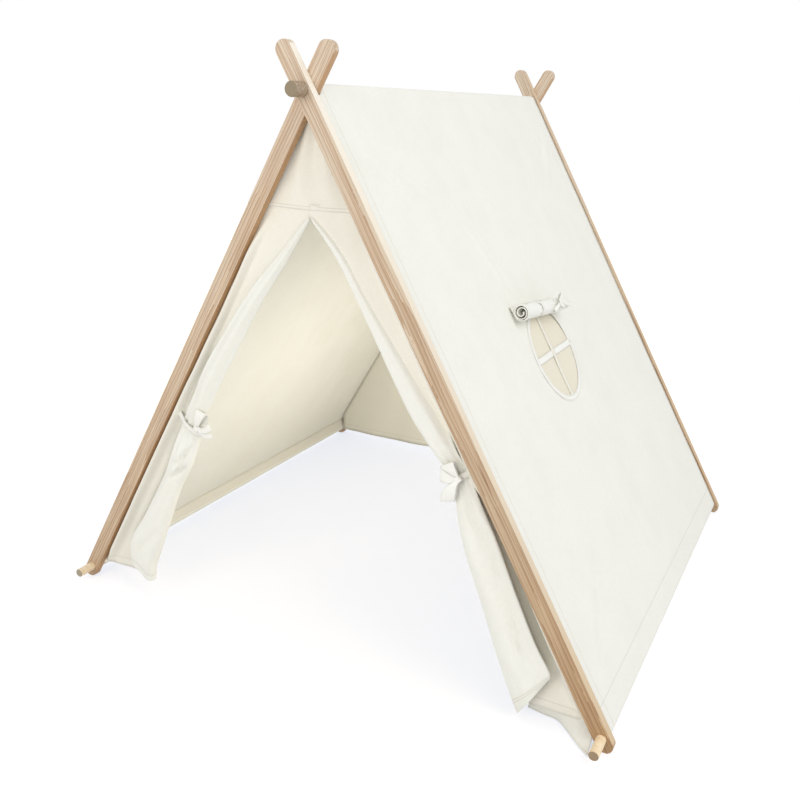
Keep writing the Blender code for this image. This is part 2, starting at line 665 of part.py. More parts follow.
def make_tie(name, stations, at):
    """The strap round a bundle."""
    places = tie_rings(stations, at)
    clear = 2 * FIT_GAP
    inside = [flap_ring(stations, place, clear) for place in places]
    outside = [flap_ring(stations, place, clear + TIE_THICK) for place in reversed(places)]
    band = loft(inside + outside + inside[:1], name, False)
    shape = bmesh.new()
    shape.from_mesh(band.data)
    bmesh.ops.remove_doubles(shape, verts=shape.verts[:], dist=MERGE)
    bmesh.ops.recalc_face_normals(shape, faces=shape.faces[:])
    shape.to_mesh(band.data)
    shape.free()
    return keep(band, name, COTTON, 0.9)


def bow_outline(loop, knot, gap):
    """Section of a bow seen along the strap's width: two open loops that meet at the knot."""
    outside = []
    holes = []
    for sign in (1, -1):
        middle = (sign * (knot / 2 + loop / 2), 0.0)
        start = 90 - sign * 90 - BOW_SWEEP / 2
        sweep = arc(middle, loop / 2, start, start + BOW_SWEEP, BOW_STEPS)
        outside += [(x, y * gap / loop) for x, y in sweep]
        oval = [(x, y * gap / loop) for x, y in arc(middle, loop / 2, 0, 360, BOW_STEPS)[:-1]]
        holes.append([(middle[0] + (x - middle[0]) * BOW_HOLE[0], y * BOW_HOLE[1])
                      for x, y in oval])
    return [outside] + holes


def make_bow(name, place, loop, width, knot, tail, tail_angles):
    """A tied bow: looped strap, knot and two tails, joined as one body. Its loops lie along the
    place's X axis, its strap is as wide as the place's Y axis and it stands out along Z."""
    gap = BOW_OPEN * loop
    loops = flat_piece(bow_outline(loop, knot, gap), width)
    stand = Matrix(((1, 0, 0), (0, 0, -1), (0, 1, 0))).to_4x4()
    loops.matrix_world = place @ Matrix.Translation((0, 0, gap / 2)) @ stand
    bpy.ops.mesh.primitive_cube_add(size=1.0)
    lump = bpy.context.object
    sizes = [share * size for share, size in zip(KNOT_BLOCK, (knot, width, gap))]
    lump.data.transform(Matrix.Diagonal((*sizes, 1.0)))
    round_edges(lump, gap * KNOT_ROUND)
    lump.matrix_world = place @ Matrix.Translation((0, 0, gap / 2))
    join_with(loops, keep_cutter(lump, name + "_knot"))
    strap = (width * TAIL_SECTION[0], gap * TAIL_SECTION[1])
    for number, angle in enumerate(tail_angles):
        bpy.ops.mesh.primitive_cube_add(size=1.0)
        strip = bpy.context.object
        strip.data.transform(Matrix.Diagonal((tail, *strap, 1.0)))
        strip.data.transform(Matrix.Translation((tail / 2, 0, 0)))
        lift = Matrix.Translation((0, 0, gap * TAIL_LIFTS[number]))
        strip.matrix_world = place @ lift @ Matrix.Rotation(math.radians(angle), 4, "Z")
        join_with(loops, keep_cutter(strip, name + "_tail_" + str(number + 1)))
    return keep(loops, name, COTTON, 0.9)


def flap_bow_place(stations, at, slip):
    """On the front of the tie, towards the doorway, with the loops along the curtain."""
    outer, inner, _ = station(stations, at)
    above_outer, above_inner, _ = station(stations, at - 0.2)
    middle = outer + (inner - outer) * slip
    up = (((above_outer + above_inner) - (outer + inner)) / 2).normalized()
    front = min(point.y for point in flap_ring(stations, at, 2 * FIT_GAP + TIE_THICK))
    x_axis = Vector((up.x, 0, up.y))
    z_axis = Vector((0, -1, 0))
    turn = Matrix((x_axis, z_axis.cross(x_axis), z_axis)).transposed()
    return Matrix.Translation((middle.x, front - FIT_GAP, middle.y)) @ turn.to_4x4()


make_curtain("left", LEFT_FLAP, LEFT_TIE_AT)
make_curtain("right", RIGHT_FLAP, RIGHT_TIE_AT)
make_tie("left_curtain_tie", LEFT_FLAP, LEFT_TIE_AT)
make_tie("right_curtain_tie", RIGHT_FLAP, RIGHT_TIE_AT)
make_bow("left_curtain_bow", flap_bow_place(LEFT_FLAP, LEFT_TIE_AT, BOW_SLIP),
         BOW_LOOP, BOW_WIDTH, BOW_KNOT, BOW_TAIL, BOW_TAIL_ANGLES)
make_bow("right_curtain_bow", flap_bow_place(RIGHT_FLAP, RIGHT_TIE_AT, BOW_SLIP),
         BOW_LOOP, BOW_WIDTH, BOW_KNOT, BOW_TAIL, BOW_TAIL_ANGLES)


# The round window: its screen, binding and crossed tapes, and its flap rolled up above it.

SCREEN_OUT = CLOTH_OUT - CANVAS / 2
BINDING_OUT = CLOTH_OUT + FIT_GAP + BINDING_THICK / 2
RAIL_OUT = CLOTH_OUT + FIT_GAP + TAPE_THICK / 2
UPRIGHT_OUT = RAIL_OUT + TAPE_THICK + FIT_GAP


def lie_on_window(obj, out):
    """Place a piece drawn round the window's centre."""
    lie_on_slope(obj, RIGHT, out, WINDOW_Y, WINDOW_DOWN_AT)


def circle(radius):
    """A round outline about the origin."""
    return arc((0, 0), radius, 0, 360, 2 * ROUND_STEPS)[:-1]


def tape(half_length, half_width):
    """A strip's outline about the origin, along X."""
    return [(-half_length, -half_width), (half_length, -half_width),
            (half_length, half_width), (-half_length, half_width)]


screen = flat_piece([circle(OPENING_RADIUS - FIT_GAP)], CANVAS)
lie_on_window(screen, SCREEN_OUT)
keep(screen, "window_screen", LINING, 0.9)

binding = flat_piece([circle(WINDOW_RADIUS + BINDING_WIDTH), circle(WINDOW_RADIUS)], BINDING_THICK)
lie_on_window(binding, BINDING_OUT)
keep(binding, "window_binding", COTTON, 0.9)

tape_reach = WINDOW_RADIUS - 2 * FIT_GAP
rail_half = RAIL_TAPE_WIDTH / 2
rail = flat_piece([tape(math.sqrt(tape_reach ** 2 - rail_half ** 2), rail_half)], TAPE_THICK)
lie_on_window(rail, RAIL_OUT)
keep(rail, "window_rail_tape", COTTON, 0.9)

upright_half = UPRIGHT_TAPE_WIDTH / 2
upright_reach = math.sqrt(tape_reach ** 2 - (upright_half + abs(UPRIGHT_TAPE_SHIFT)) ** 2)
upright_outline = [(y + UPRIGHT_TAPE_SHIFT, x) for x, y in tape(upright_reach, upright_half)]
upright = flat_piece([upright_outline], TAPE_THICK)
lie_on_window(upright, UPRIGHT_OUT)
keep(upright, "window_upright_tape", COTTON, 0.9)

ROLL_OUTSIDE = ROLL_RADIUS + ROLL_CLOTH / 2
TIE_INSIDE = ROLL_OUTSIDE + FIT_GAP
TIE_OUTSIDE = TIE_INSIDE + TIE_THICK
ROLL_OUT = CLOTH_OUT + BINDING_THICK + 2 * FIT_GAP + TIE_OUTSIDE
ROLL_SEAM_IN = ROLL_OUT - CLOTH_OUT - FIT_GAP - ROLL_CLOTH / 2
slope, normal = slope_axes(RIGHT)
level = Vector((0, 1, 0))
ROLL_ALONG = level * math.cos(ROLL_TILT) + slope * math.sin(ROLL_TILT)
ROLL_ACROSS = slope * math.cos(ROLL_TILT) - level * math.sin(ROLL_TILT)
ROLL_MIDDLE = (ridge_point(WINDOW_Y + ROLL_DEPTH_SHIFT) + normal * ROLL_OUT
               + slope * (WINDOW_DOWN_AT - ROLL_ABOVE_CENTRE))


def roll_outline():
    """The window flap seen from its end: down from its seam and over the binding, then wound up."""
    path = [(-ROLL_SEAM_ABOVE, -ROLL_SEAM_IN),
            (-ROLL_SEAM_ABOVE * ROLL_DROP[0], ROLL_CLOTH / 2 - TIE_OUTSIDE),
            (-ROLL_SEAM_ABOVE * ROLL_DROP[1], -ROLL_RADIUS)]
    steps = round(ROLL_TURNS * ROLL_STEPS)
    for i in range(steps + 1):
        share = i / steps
        angle = math.radians(-90 + 360 * ROLL_TURNS * share)
        radius = ROLL_RADIUS + (ROLL_CORE_RADIUS - ROLL_RADIUS) * share
        path.append((radius * math.cos(angle), radius * math.sin(angle)))
    left_side = []
    right_side = []
    for i, (x, y) in enumerate(path):
        before = path[max(i - 1, 0)]
        after = path[min(i + 1, len(path) - 1)]
        along = Vector((after[0] - before[0], after[1] - before[1])).normalized()
        left_side.append((x - along.y * ROLL_CLOTH / 2, y + along.x * ROLL_CLOTH / 2))
        right_side.append((x + along.y * ROLL_CLOTH / 2, y - along.x * ROLL_CLOTH / 2))
    return left_side + right_side[::-1]


def place_on_roll(obj, along):
    """Place a section drawn round the roll's axis, with its origin on the seam it swings from."""
    obj.data.transform(Matrix.Translation((ROLL_SEAM_ABOVE, -RIGHT * ROLL_SEAM_IN, 0)))
    turn = Matrix((ROLL_ACROSS, -normal, ROLL_ALONG)).transposed()
    seam = (ROLL_MIDDLE + ROLL_ALONG * along - ROLL_ACROSS * ROLL_SEAM_ABOVE
            - normal * ROLL_SEAM_IN)
    obj.matrix_world = Matrix.Translation(seam) @ turn.to_4x4()


roll = flat_piece([section(roll_outline(), RIGHT)], ROLL_LENGTH)
place_on_roll(roll, 0.0)
keep(roll, "window_flap_roll", COTTON, 0.9)

band_outline = arc((0, 0), TIE_OUTSIDE, *WINDOW_TIE_REACH, ROUND_STEPS)
band_outline += arc((0, 0), TIE_INSIDE, *WINDOW_TIE_REACH[::-1], ROUND_STEPS)
for tie_name, tie_at in zip(("window_tie_front", "window_tie_back"), WINDOW_TIE_AT):
    band = flat_piece([section(band_outline, RIGHT)], WINDOW_TIE_WIDTH)
    place_on_roll(band, tie_at)
    keep(band, tie_name, COTTON, 0.9)

bow_turn = Matrix((ROLL_ALONG, -ROLL_ACROSS, normal)).transposed()
bow_center = (ROLL_MIDDLE + ROLL_ALONG * WINDOW_TIE_AT[1]
              + normal * (TIE_OUTSIDE + FIT_GAP))
make_bow("window_tie_bow", Matrix.Translation(bow_center) @ bow_turn.to_4x4(),
         WINDOW_BOW_LOOP, WINDOW_BOW_WIDTH, WINDOW_BOW_KNOT, WINDOW_BOW_TAIL, WINDOW_TAIL_ANGLES)
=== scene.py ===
# A child's folding play tent: two crossed pairs of pine poles on a ridge pole, with a cotton canvas
# cover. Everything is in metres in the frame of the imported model. The door faces -Y and +Z is up.
from math import acos, atan2, cos, exp, hypot, pi, radians, sin, sqrt, tan, tau

import bmesh
import bpy
from mathutils import Matrix, Vector, noise
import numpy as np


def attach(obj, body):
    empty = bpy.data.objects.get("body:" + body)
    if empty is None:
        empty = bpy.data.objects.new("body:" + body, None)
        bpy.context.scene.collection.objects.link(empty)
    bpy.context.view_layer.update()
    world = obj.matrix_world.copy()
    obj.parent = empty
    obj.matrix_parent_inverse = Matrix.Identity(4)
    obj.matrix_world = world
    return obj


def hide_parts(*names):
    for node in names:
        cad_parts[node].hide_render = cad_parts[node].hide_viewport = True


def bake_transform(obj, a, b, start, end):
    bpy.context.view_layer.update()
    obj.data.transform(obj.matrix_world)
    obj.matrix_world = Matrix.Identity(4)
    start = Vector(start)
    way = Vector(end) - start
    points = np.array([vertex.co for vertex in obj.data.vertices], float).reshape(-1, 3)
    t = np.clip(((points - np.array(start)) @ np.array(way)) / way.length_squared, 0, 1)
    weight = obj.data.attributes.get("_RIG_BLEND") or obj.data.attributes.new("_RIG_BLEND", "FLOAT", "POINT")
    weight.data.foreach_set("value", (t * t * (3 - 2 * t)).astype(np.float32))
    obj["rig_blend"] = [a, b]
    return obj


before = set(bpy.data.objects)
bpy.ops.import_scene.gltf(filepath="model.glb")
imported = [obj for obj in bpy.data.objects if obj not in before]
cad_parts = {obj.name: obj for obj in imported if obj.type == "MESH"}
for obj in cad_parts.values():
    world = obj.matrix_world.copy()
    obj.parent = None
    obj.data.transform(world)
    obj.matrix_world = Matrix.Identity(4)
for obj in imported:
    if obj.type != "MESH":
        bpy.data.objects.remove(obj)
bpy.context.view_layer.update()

# The studio: a white floor that runs out into a white surround, a broad soft lamp high on the right
# and one behind the camera, a small one for the light that the canvas lets through to its inside,
# and the camera where the photographer stood. The floor shows only a faint blue shade.


def srgb(code):
    """A colour written as #RRGGBB, turned to the linear values that the shaders take."""
    channels = [int(code[i:i + 2], 16) / 255 for i in (1, 3, 5)]
    linear = [c / 12.92 if c <= 0.04045 else ((c + 0.055) / 1.055) ** 2.4 for c in channels]
    return (*linear, 1.0)


def add_node(tree, kind, inputs=(), **settings):
    """Add one node with its settings and links. An input is a value, a socket or a node, which
    stands for its first output. Inputs without names go into the sockets in their order."""
    node = tree.nodes.new("ShaderNode" + kind)
    for name, value in settings.items():
        setattr(node, name, value)
    named = inputs if isinstance(inputs, dict) else dict(enumerate(inputs))
    for socket, value in named.items():
        if isinstance(value, bpy.types.Node):
            value = value.outputs[0]
        if isinstance(value, bpy.types.NodeSocket):
            tree.links.new(value, node.inputs[socket])
        else:
            node.inputs[socket].default_value = value
    return node


def empty_material(name):
    """A new material with no nodes in it yet."""
    material = bpy.data.materials.new(name)
    material.use_nodes = True
    material.node_tree.nodes.clear()
    return material, material.node_tree


def new_piece(name, shape):
    """Link a finished bmesh shape as an object of its own."""
    mesh = bpy.data.meshes.new(name)
    shape.to_mesh(mesh)
    shape.free()
    piece = bpy.data.objects.new(name, mesh)
    bpy.context.scene.collection.objects.link(piece)
    return piece


CAMERA_PLACE = ((0.88741, -0.16319, 0.43114, 0.94659),
                (0.46038, 0.26561, -0.84706, -2.05455),
                (0.02371, 0.95017, 0.31084, 1.15293),
                (0.0, 0.0, 0.0, 1.0))
camera_data = bpy.data.cameras.new("camera")
camera_data.sensor_width = 36.0
camera_data.lens = 40.39
camera = bpy.data.objects.new("camera", camera_data)
camera.matrix_world = Matrix(CAMERA_PLACE)
bpy.context.scene.collection.objects.link(camera)
bpy.context.scene.camera = camera
bpy.context.scene.view_settings.view_transform = "Standard"

surround = bpy.data.worlds.new("white_surround")
surround.use_nodes = True
bpy.context.scene.world = surround
tree = surround.node_tree
tree.nodes.clear()
ray = add_node(tree, "LightPath").outputs
seen = add_node(tree, "Math", (ray["Is Camera Ray"], ray["Is Glossy Ray"]), operation="MAXIMUM")
seen = add_node(tree, "Math", (seen, ray["Is Transmission Ray"]), operation="MAXIMUM")
room_light = add_node(tree, "Background", (srgb("#F6F9FF"), 0.74))
backdrop = add_node(tree, "Background", (srgb("#FFFFFF"), 1.0))
mixed = add_node(tree, "MixShader", (seen, room_light, backdrop))
add_node(tree, "OutputWorld", {"Surface": mixed})

floor_shape = bmesh.new()
bmesh.ops.create_circle(floor_shape, cap_ends=True, segments=96, radius=9.0,
                        matrix=Matrix.Translation((0, 0, -0.0004)))
studio_floor = new_piece("studio_floor", floor_shape)
floor_paint, tree = empty_material("white_studio_floor")
ray = add_node(tree, "LightPath").outputs
seen = add_node(tree, "Math", (ray["Is Camera Ray"], ray["Is Glossy Ray"]), operation="MAXIMUM")
plain = add_node(tree, "BsdfDiffuse", {"Color": (0.80, 0.80, 0.81, 1.0)})
shaded = add_node(tree, "BsdfDiffuse", {"Color": (0.56, 0.45, 0.30, 1.0)})
lifted = add_node(tree, "Emission", {"Color": (0.56, 0.64, 0.765, 1.0)})
shown = add_node(tree, "AddShader", (shaded, lifted))
ground = add_node(tree, "TexCoord").outputs["Object"]
away = add_node(tree, "VectorMath", (ground,), operation="LENGTH").outputs["Value"]
sweep = add_node(tree, "MapRange", (away, 1.0, 2.2))
sweep = add_node(tree, "Emission", ((0.44, 0.36, 0.24, 1.0), sweep))
shown = add_node(tree, "AddShader", (shown, sweep))
mixed = add_node(tree, "MixShader", (seen, plain, shown))
add_node(tree, "OutputMaterial", {"Surface": mixed})
studio_floor.data.materials.append(floor_paint)


def soft_lamp(name, place, target, width, height, watts, tint):
    """A broad lamp that hangs at a place and looks at a target, unseen by the camera."""
    data = bpy.data.lights.new(name, "AREA")
    data.shape = "RECTANGLE"
    data.size = width
    data.size_y = height
    data.energy = watts
    data.color = srgb(tint)[:3]
    lamp = bpy.data.objects.new(name, data)
    lamp.location = place
    lamp.rotation_euler = (Vector(target) - Vector(place)).to_track_quat("-Z", "Y").to_euler()
    lamp.visible_camera = False
    bpy.context.scene.collection.objects.link(lamp)
    return lamp


soft_lamp("softbox_right", (3.2, -0.9, 3.4), (0.0, 0.0, 0.5), 3.0, 3.0, 64.0, "#FFFDFA")
soft_lamp("softbox_front", (-0.6, -4.4, 2.0), (0.0, 0.0, 0.5), 2.6, 2.6, 57.0, "#FFFAF2")
glow = soft_lamp("glow_through_canvas", (0.30, -0.06, 0.25), (-0.4, -0.06, 0.18), 0.72, 0.42, 4.3,
                 "#FFFAF3")
off_the_floor = bpy.data.collections.new("glow_stays_off_the_floor")
off_the_floor.objects.link(studio_floor)
off_the_floor.collection_objects[0].light_linking.link_state = "EXCLUDE"
glow.light_linking.receiver_collection = off_the_floor


# The poles: four flat pine laths, planed and sanded and left bare, with their edges eased and
# their ends rounded. Long brown grain lines run from foot to tip between paler, pinkish bands.
# The ridge pole and the ground rods are dowels, whose sawn ends are darker.
# The laths' side faces carry painted light and shade, and the laths are darkened towards the floor as
# painted shade.
RIDGE_HEIGHT = 1.178
HALF_SPREAD = 0.658
SLOPE_RISE = 1.150
LEAN = atan2(HALF_SPREAD, SLOPE_RISE)
SLOPE_LENGTH = hypot(HALF_SPREAD, SLOPE_RISE)


def sanded_pine(node_name, name, lean, heart, early, late, foot="#FFFFFF", edges=None,
                end_tone=None, streak_at=None):
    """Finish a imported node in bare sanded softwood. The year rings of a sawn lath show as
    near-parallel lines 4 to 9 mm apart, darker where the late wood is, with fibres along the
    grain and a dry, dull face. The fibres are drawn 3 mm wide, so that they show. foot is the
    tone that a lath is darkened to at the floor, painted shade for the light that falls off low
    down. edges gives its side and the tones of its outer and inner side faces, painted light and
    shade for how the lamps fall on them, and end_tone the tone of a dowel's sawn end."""
    material, tree = empty_material(name)
    spot = add_node(tree, "TexCoord").outputs["Object"]
    axes = add_node(tree, "SeparateXYZ", (spot,)).outputs
    along = add_node(tree, "Mapping", {"Vector": spot, "Location": (*heart, 0.0),
                                       "Rotation": (0.0, lean, 0.0)})
    drawn_out = []
    for scale, detail in (((14.0, 14.0, 1.9), 3.0), ((120.0, 120.0, 2.4), 2.0),
                          ((330.0, 330.0, 7.0), 2.0), ((55.0, 55.0, 3.2), 3.0)):
        place = add_node(tree, "Mapping", {"Vector": along, "Scale": scale})
        drawn_out.append(add_node(tree, "TexNoise", {"Vector": place, "Scale": 1.0,
                                                     "Detail": detail}).outputs)
    wander, crowd, fibres, blush = drawn_out
    sway = add_node(tree, "VectorMath", (wander["Color"], (0.5, 0.5, 0.5)), operation="SUBTRACT")
    sway = add_node(tree, "VectorMath", {0: sway, "Scale": 0.030}, operation="SCALE")
    crowd = add_node(tree, "VectorMath", {0: crowd["Color"], "Scale": 0.017}, operation="SCALE")
    ring_spot = add_node(tree, "VectorMath", (along, sway), operation="ADD")
    ring_spot = add_node(tree, "VectorMath", (ring_spot, crowd), operation="ADD")
    rings = add_node(tree, "TexWave", {"Vector": ring_spot, "Scale": 46.0, "Distortion": 0.6,
                                       "Detail": 2.0, "Detail Scale": 2.0},
                     wave_type="RINGS", rings_direction="Z", wave_profile="SAW").outputs["Fac"]
    ring_tone = add_node(tree, "ValToRGB", (rings,))
    for stop, place, tone in zip(ring_tone.color_ramp.elements, (0.05, 0.93), (early, late)):
        stop.position = place
        stop.color = srgb(tone)
    warm = add_node(tree, "MapRange", (blush["Fac"], 0.35, 0.70))
    warm = add_node(tree, "Mix", {"Factor": warm, 6: ring_tone, 7: srgb("#E2C4A6")},
                    data_type="RGBA", blend_type="MULTIPLY").outputs[2]
    warm = add_node(tree, "Mix", {"Factor": 0.42, 6: ring_tone, 7: warm},
                    data_type="RGBA").outputs[2]
    fibre_tone = add_node(tree, "MapRange", (fibres["Fac"], 0.3, 0.7, 0.92, 1.05))
    colour = add_node(tree, "VectorMath", {0: warm, "Scale": fibre_tone}, operation="SCALE")
    layers = []
    if edges:
        # Painted light and shade: each side face gets its own tone, and the lath is darkened towards the
        # floor.
        side, *tones = edges
        axis = add_node(tree, "VectorMath", (spot, (0.0, 0.0, RIDGE_HEIGHT)),
                        operation="SUBTRACT")
        outward = add_node(tree, "VectorMath", (axis, (side * cos(LEAN), 0.0, sin(LEAN))),
                           operation="DOT_PRODUCT").outputs["Value"]
        for start, end, tone in zip((0.0160, -0.0160), (0.0170, -0.0170), tones):
            share = add_node(tree, "MapRange", (outward, start, end, 0.0, 0.85))
            layers.append((share, tone, "MIX"))
        low = add_node(tree, "MapRange", (axes[2], RIDGE_HEIGHT, 0.0))
        layers.append((low, foot, "MULTIPLY"))
    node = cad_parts[node_name]
    if end_tone:
        sawn_end = min(vertex.co.y for vertex in node.data.vertices)
        sawn = add_node(tree, "Math", (axes[1], sawn_end + 0.0006), operation="LESS_THAN")
        layers.append((sawn, end_tone, "MIX"))
    if streak_at:
        centre = add_node(tree, "VectorMath", (spot, streak_at), operation="SUBTRACT")
        turned = add_node(tree, "Mapping", {"Vector": centre, "Rotation": (0.0, lean, 0.0)})
        place = add_node(tree, "Mapping", {"Vector": turned, "Scale": (560.0, 40.0, 21.0)})
        reach = add_node(tree, "VectorMath", (place,), operation="LENGTH").outputs["Value"]
        pitch = add_node(tree, "MapRange", (reach, 0.2, 1.0, 0.85, 0.0))
        layers.append((pitch, "#7A3F22", "MIX"))
    for share, tone, blend in layers:
        colour = add_node(tree, "Mix", {"Factor": share, 6: colour, 7: srgb(tone)},
                          data_type="RGBA", blend_type=blend).outputs[2]
    dull = add_node(tree, "MapRange", (rings, 0.0, 1.0, 0.58, 0.46))
    relief = add_node(tree, "Math", (rings, 0.35, fibres["Fac"]), operation="MULTIPLY_ADD")
    grain = add_node(tree, "Bump", {"Height": relief, "Strength": 0.35, "Distance": 0.0004})
    surface = add_node(tree, "BsdfPrincipled", {"Base Color": colour, "Roughness": dull,
                                                "IOR": 1.5, "Specular IOR Level": 0.35,
                                                "Normal": grain})
    add_node(tree, "OutputMaterial", {"Surface": surface})
    node.data.materials.clear()
    node.data.materials.append(material)


PINE_EARLY = "#E2D5C0"
PINE_LATE = "#BFA68B"
PINE_INNER_SIDE_SHADE = "#BC946A"
DOWEL = radians(90)
# The front right pole's outer side is a near-white painted highlight; the inner sides are a darker painted
# shade.
sanded_pine("front_right_pole", "sanded_pine_front_right", LEAN, (0.9, 0.055), PINE_EARLY,
            PINE_LATE, "#DCC8AC", (1, "#FBF5E6", PINE_INNER_SIDE_SHADE), streak_at=(0.396, -0.6162, 0.499))
sanded_pine("front_left_pole", "sanded_pine_front_left", -LEAN, (-1.05, 0.07), "#E1D2BC",
            "#BEA489", "#F0E8DC", (-1, "#DCC8AE", PINE_INNER_SIDE_SHADE))
sanded_pine("back_right_pole", "sanded_pine_back_right", LEAN, (1.0, -0.09), PINE_EARLY,
            PINE_LATE, "#F0E4D2", (1, "#D9C1A2", PINE_INNER_SIDE_SHADE))
sanded_pine("back_left_pole", "sanded_pine_back_left", -LEAN, (-0.95, -0.06), PINE_EARLY,
            PINE_LATE, "#F0E4D2", (-1, "#D9C1A2", PINE_INNER_SIDE_SHADE))
sanded_pine("ridge_pole", "turned_pine_ridge_pole", DOWEL, (0.2, 0.03), PINE_EARLY, PINE_LATE)
sanded_pine("ridge_pole_knob", "turned_ash_knob", DOWEL, (0.15, 0.02), "#B9AA95", "#95826B",
            end_tone="#8F8069")
sanded_pine("right_bottom_rod", "pale_dowel_right", DOWEL, (0.3, 0.02), "#FFEFCF", "#F2DCB2",
            end_tone="#9A8468")
sanded_pine("left_bottom_rod", "pale_dowel_left", DOWEL, (0.4, 0.02), "#FBEBCF", "#EDD8B2",
            end_tone="#A39880")


# The cover: one length of natural cotton canvas. It starts at the stitching of the right hem,
# turns round the right ground rod, climbs the right wall, lies over the ridge pole, runs down the
# left wall and turns round the left rod. The front and back edges are hemmed.
CANVAS = 0.0016
WALL_OUT = 0.0111
HEM_DEPTH = 0.055
LEFT_HEM_DEPTH = 0.032
WALL_FRONT = -0.59515
WALL_BACK = 0.62715
POLE_LAYER = 0.0183
NOTCH = 0.0140
NOTCH_EASE = 0.0045
WALL_STEP = 0.012
COVER_COLUMNS = 104
HEM_STITCH = 0.003
HEM_FLAT = 0.006


def slope_point(side, y, down, out):
    """A point of a wall: down the slope from the ridge axis, and out from the frame's plane."""
    return Vector((side * (down * sin(LEAN) + out * cos(LEAN)), y,
                   RIDGE_HEIGHT - down * cos(LEAN) + out * sin(LEAN)))


def smooth_step(low, high, value):
    """0 below low, 1 above high and an even ease between them."""
    share = min(max((value - low) / (high - low), 0.0), 1.0)
    return share * share * (3.0 - 2.0 * share)


def hump(off, width):
    """1 in the middle, dying out to both sides over about its width."""
    return exp(-(off / width) ** 2)


def crease(point, start, end, width, height):
    """Height of a soft crease that runs from start to end and dies out at both of them."""
    line = (end[0] - start[0], end[1] - start[1])
    length = hypot(*line)
    along = ((point[0] - start[0]) * line[0] + (point[1] - start[1]) * line[1]) / length
    if not 0.0 < along < length:
        return 0.0
    off = ((point[1] - start[1]) * line[0] - (point[0] - start[0]) * line[1]) / length
    swell = hump(off, width) - 0.45 * hump(off - 1.7 * width, width)
    return height * sin(pi * along / length) * swell


def rumple(u, v, size, seed):
    """Slow unevenness of hung cloth, from -1 to 1."""
    return noise.noise(Vector((u / size, v / size, seed)))


WALL_CREASES = {1: [
    ((-0.255, 0.215), (-0.130, 0.560), 0.010, 0.0011),
    ((-0.225, 0.225), (-0.110, 0.530), 0.008, 0.0009),
    ((-0.150, 0.400), (-0.090, 0.545), 0.007, 0.0008),
    ((0.045, 0.350), (0.020, 0.540), 0.008, 0.0007),
    ((-0.010, 0.790), (0.055, 1.010), 0.007, 0.0010),
    ((0.018, 0.785), (0.095, 1.030), 0.007, 0.0009),
    ((-0.105, 0.780), (-0.122, 0.960), 0.008, 0.0008),
    ((-0.560, 0.080), (-0.300, 0.330), 0.014, 0.0014),
    ((0.575, 0.090), (0.380, 0.300), 0.012, 0.0010),
    ((-0.540, 1.230), (-0.350, 1.060), 0.012, 0.0010),
    ((0.560, 1.220), (0.360, 1.080), 0.012, 0.0010),
], -1: [
    ((-0.540, 0.090), (-0.260, 0.420), 0.013, 0.0016),
    ((0.560, 0.100), (0.300, 0.380), 0.013, 0.0016),
    ((-0.200, 0.300), (-0.120, 0.760), 0.016, 0.0012),
    ((0.150, 0.360), (0.110, 0.900), 0.018, 0.0012),
    ((0.420, 0.700), (0.250, 1.150), 0.014, 0.0012),
    ((-0.400, 0.760), (-0.300, 1.180), 0.014, 0.0012),
    ((0.010, 0.880), (0.030, 1.200), 0.014, 0.0010),
]}
CREASE_DEPTH = {-1: 1.5, 1: 2.3}


def wall_relief(side, y, down):
    """How far a wall's surface stands out from flat: slack between the poles, and creases."""
    share = min(max(down / SLOPE_LENGTH, 0.0), 1.0)
    depth_share = min(max((y - WALL_FRONT) / (WALL_BACK - WALL_FRONT), 0.0), 1.0)
    hold = smooth_step(0.0, 0.05, down) * smooth_step(SLOPE_LENGTH - 0.01,
                                                      SLOPE_LENGTH - HEM_DEPTH - 0.03, down)
    slack = -0.0035 * sin(pi * share) * sin(pi * depth_share)
    seed = 3.1 if side > 0 else 8.7
    slack += 0.0011 * rumple(y, down, 0.16, seed) + 0.00035 * rumple(y, down, 0.045, seed + 5.0)
    slack += 0.0009 * rumple(y * 2.6, down * 0.5, 0.13, seed + 2.0)
    for start, end, width, height in WALL_CREASES[side]:
        slack += CREASE_DEPTH[side] * crease((y, down), start, end, width, height)
    tucked = 0.0022 * hump(y - WALL_FRONT, 0.007)
    return (slack - tucked) * hold


def cover_edges(side, down):
    """Where the cover's front and back edges lie: each steps in at the top past the pole of the
    other side, and keeps to that step where its own pole is the inner one."""
    step = POLE_LAYER * smooth_step(NOTCH + NOTCH_EASE, NOTCH, down)
    steps = (step, POLE_LAYER) if side > 0 else (POLE_LAYER, step)
    return WALL_FRONT + steps[0], WALL_BACK - steps[1]


def wall_rows(side, hem):
    """One wall's section from its stitched hem, round its rod and up to the ridge."""
    rows = []
    inside = WALL_OUT - CANVAS - 0.0003
    reach = hypot(hem - HEM_FLAT, inside)
    touch = atan2(inside, HEM_FLAT - hem) + acos(WALL_OUT / reach) - tau
    for i in range(4):
        rows.append((side, SLOPE_LENGTH - hem + HEM_FLAT * i / 3, inside))
    for i in range(1, 5):
        share = i / 5
        rows.append((side, SLOPE_LENGTH - hem + HEM_FLAT
                     + (hem - HEM_FLAT + WALL_OUT * cos(touch)) * share,
                     inside + (WALL_OUT * sin(touch) - inside) * share))
    for i in range(15):
        angle = touch + (pi / 2 - touch) * i / 14
        rows.append((side, SLOPE_LENGTH + WALL_OUT * cos(angle), WALL_OUT * sin(angle)))
    fine = [0.034, 0.028, 0.0235, 0.0215, 0.0200, 0.0185, 0.0170, 0.0155, 0.010, 0.005, 0.0]
    steps = round((SLOPE_LENGTH - fine[0]) / WALL_STEP)
    rows += [(side, SLOPE_LENGTH + (fine[0] - SLOPE_LENGTH) * i / steps, WALL_OUT)
             for i in range(1, steps)]
    return rows + [(side, down, WALL_OUT) for down in fine]


def cover_rows():
    """The cover's whole section: which wall, how far down its slope and how far out."""
    ridge = []
    for i in range(1, 8):
        angle = LEAN + (pi - 2 * LEAN) * i / 8
        ridge.append((0, WALL_OUT * cos(angle), WALL_OUT * sin(angle)))
    return wall_rows(1, HEM_DEPTH) + ridge + wall_rows(-1, LEFT_HEM_DEPTH)[::-1]


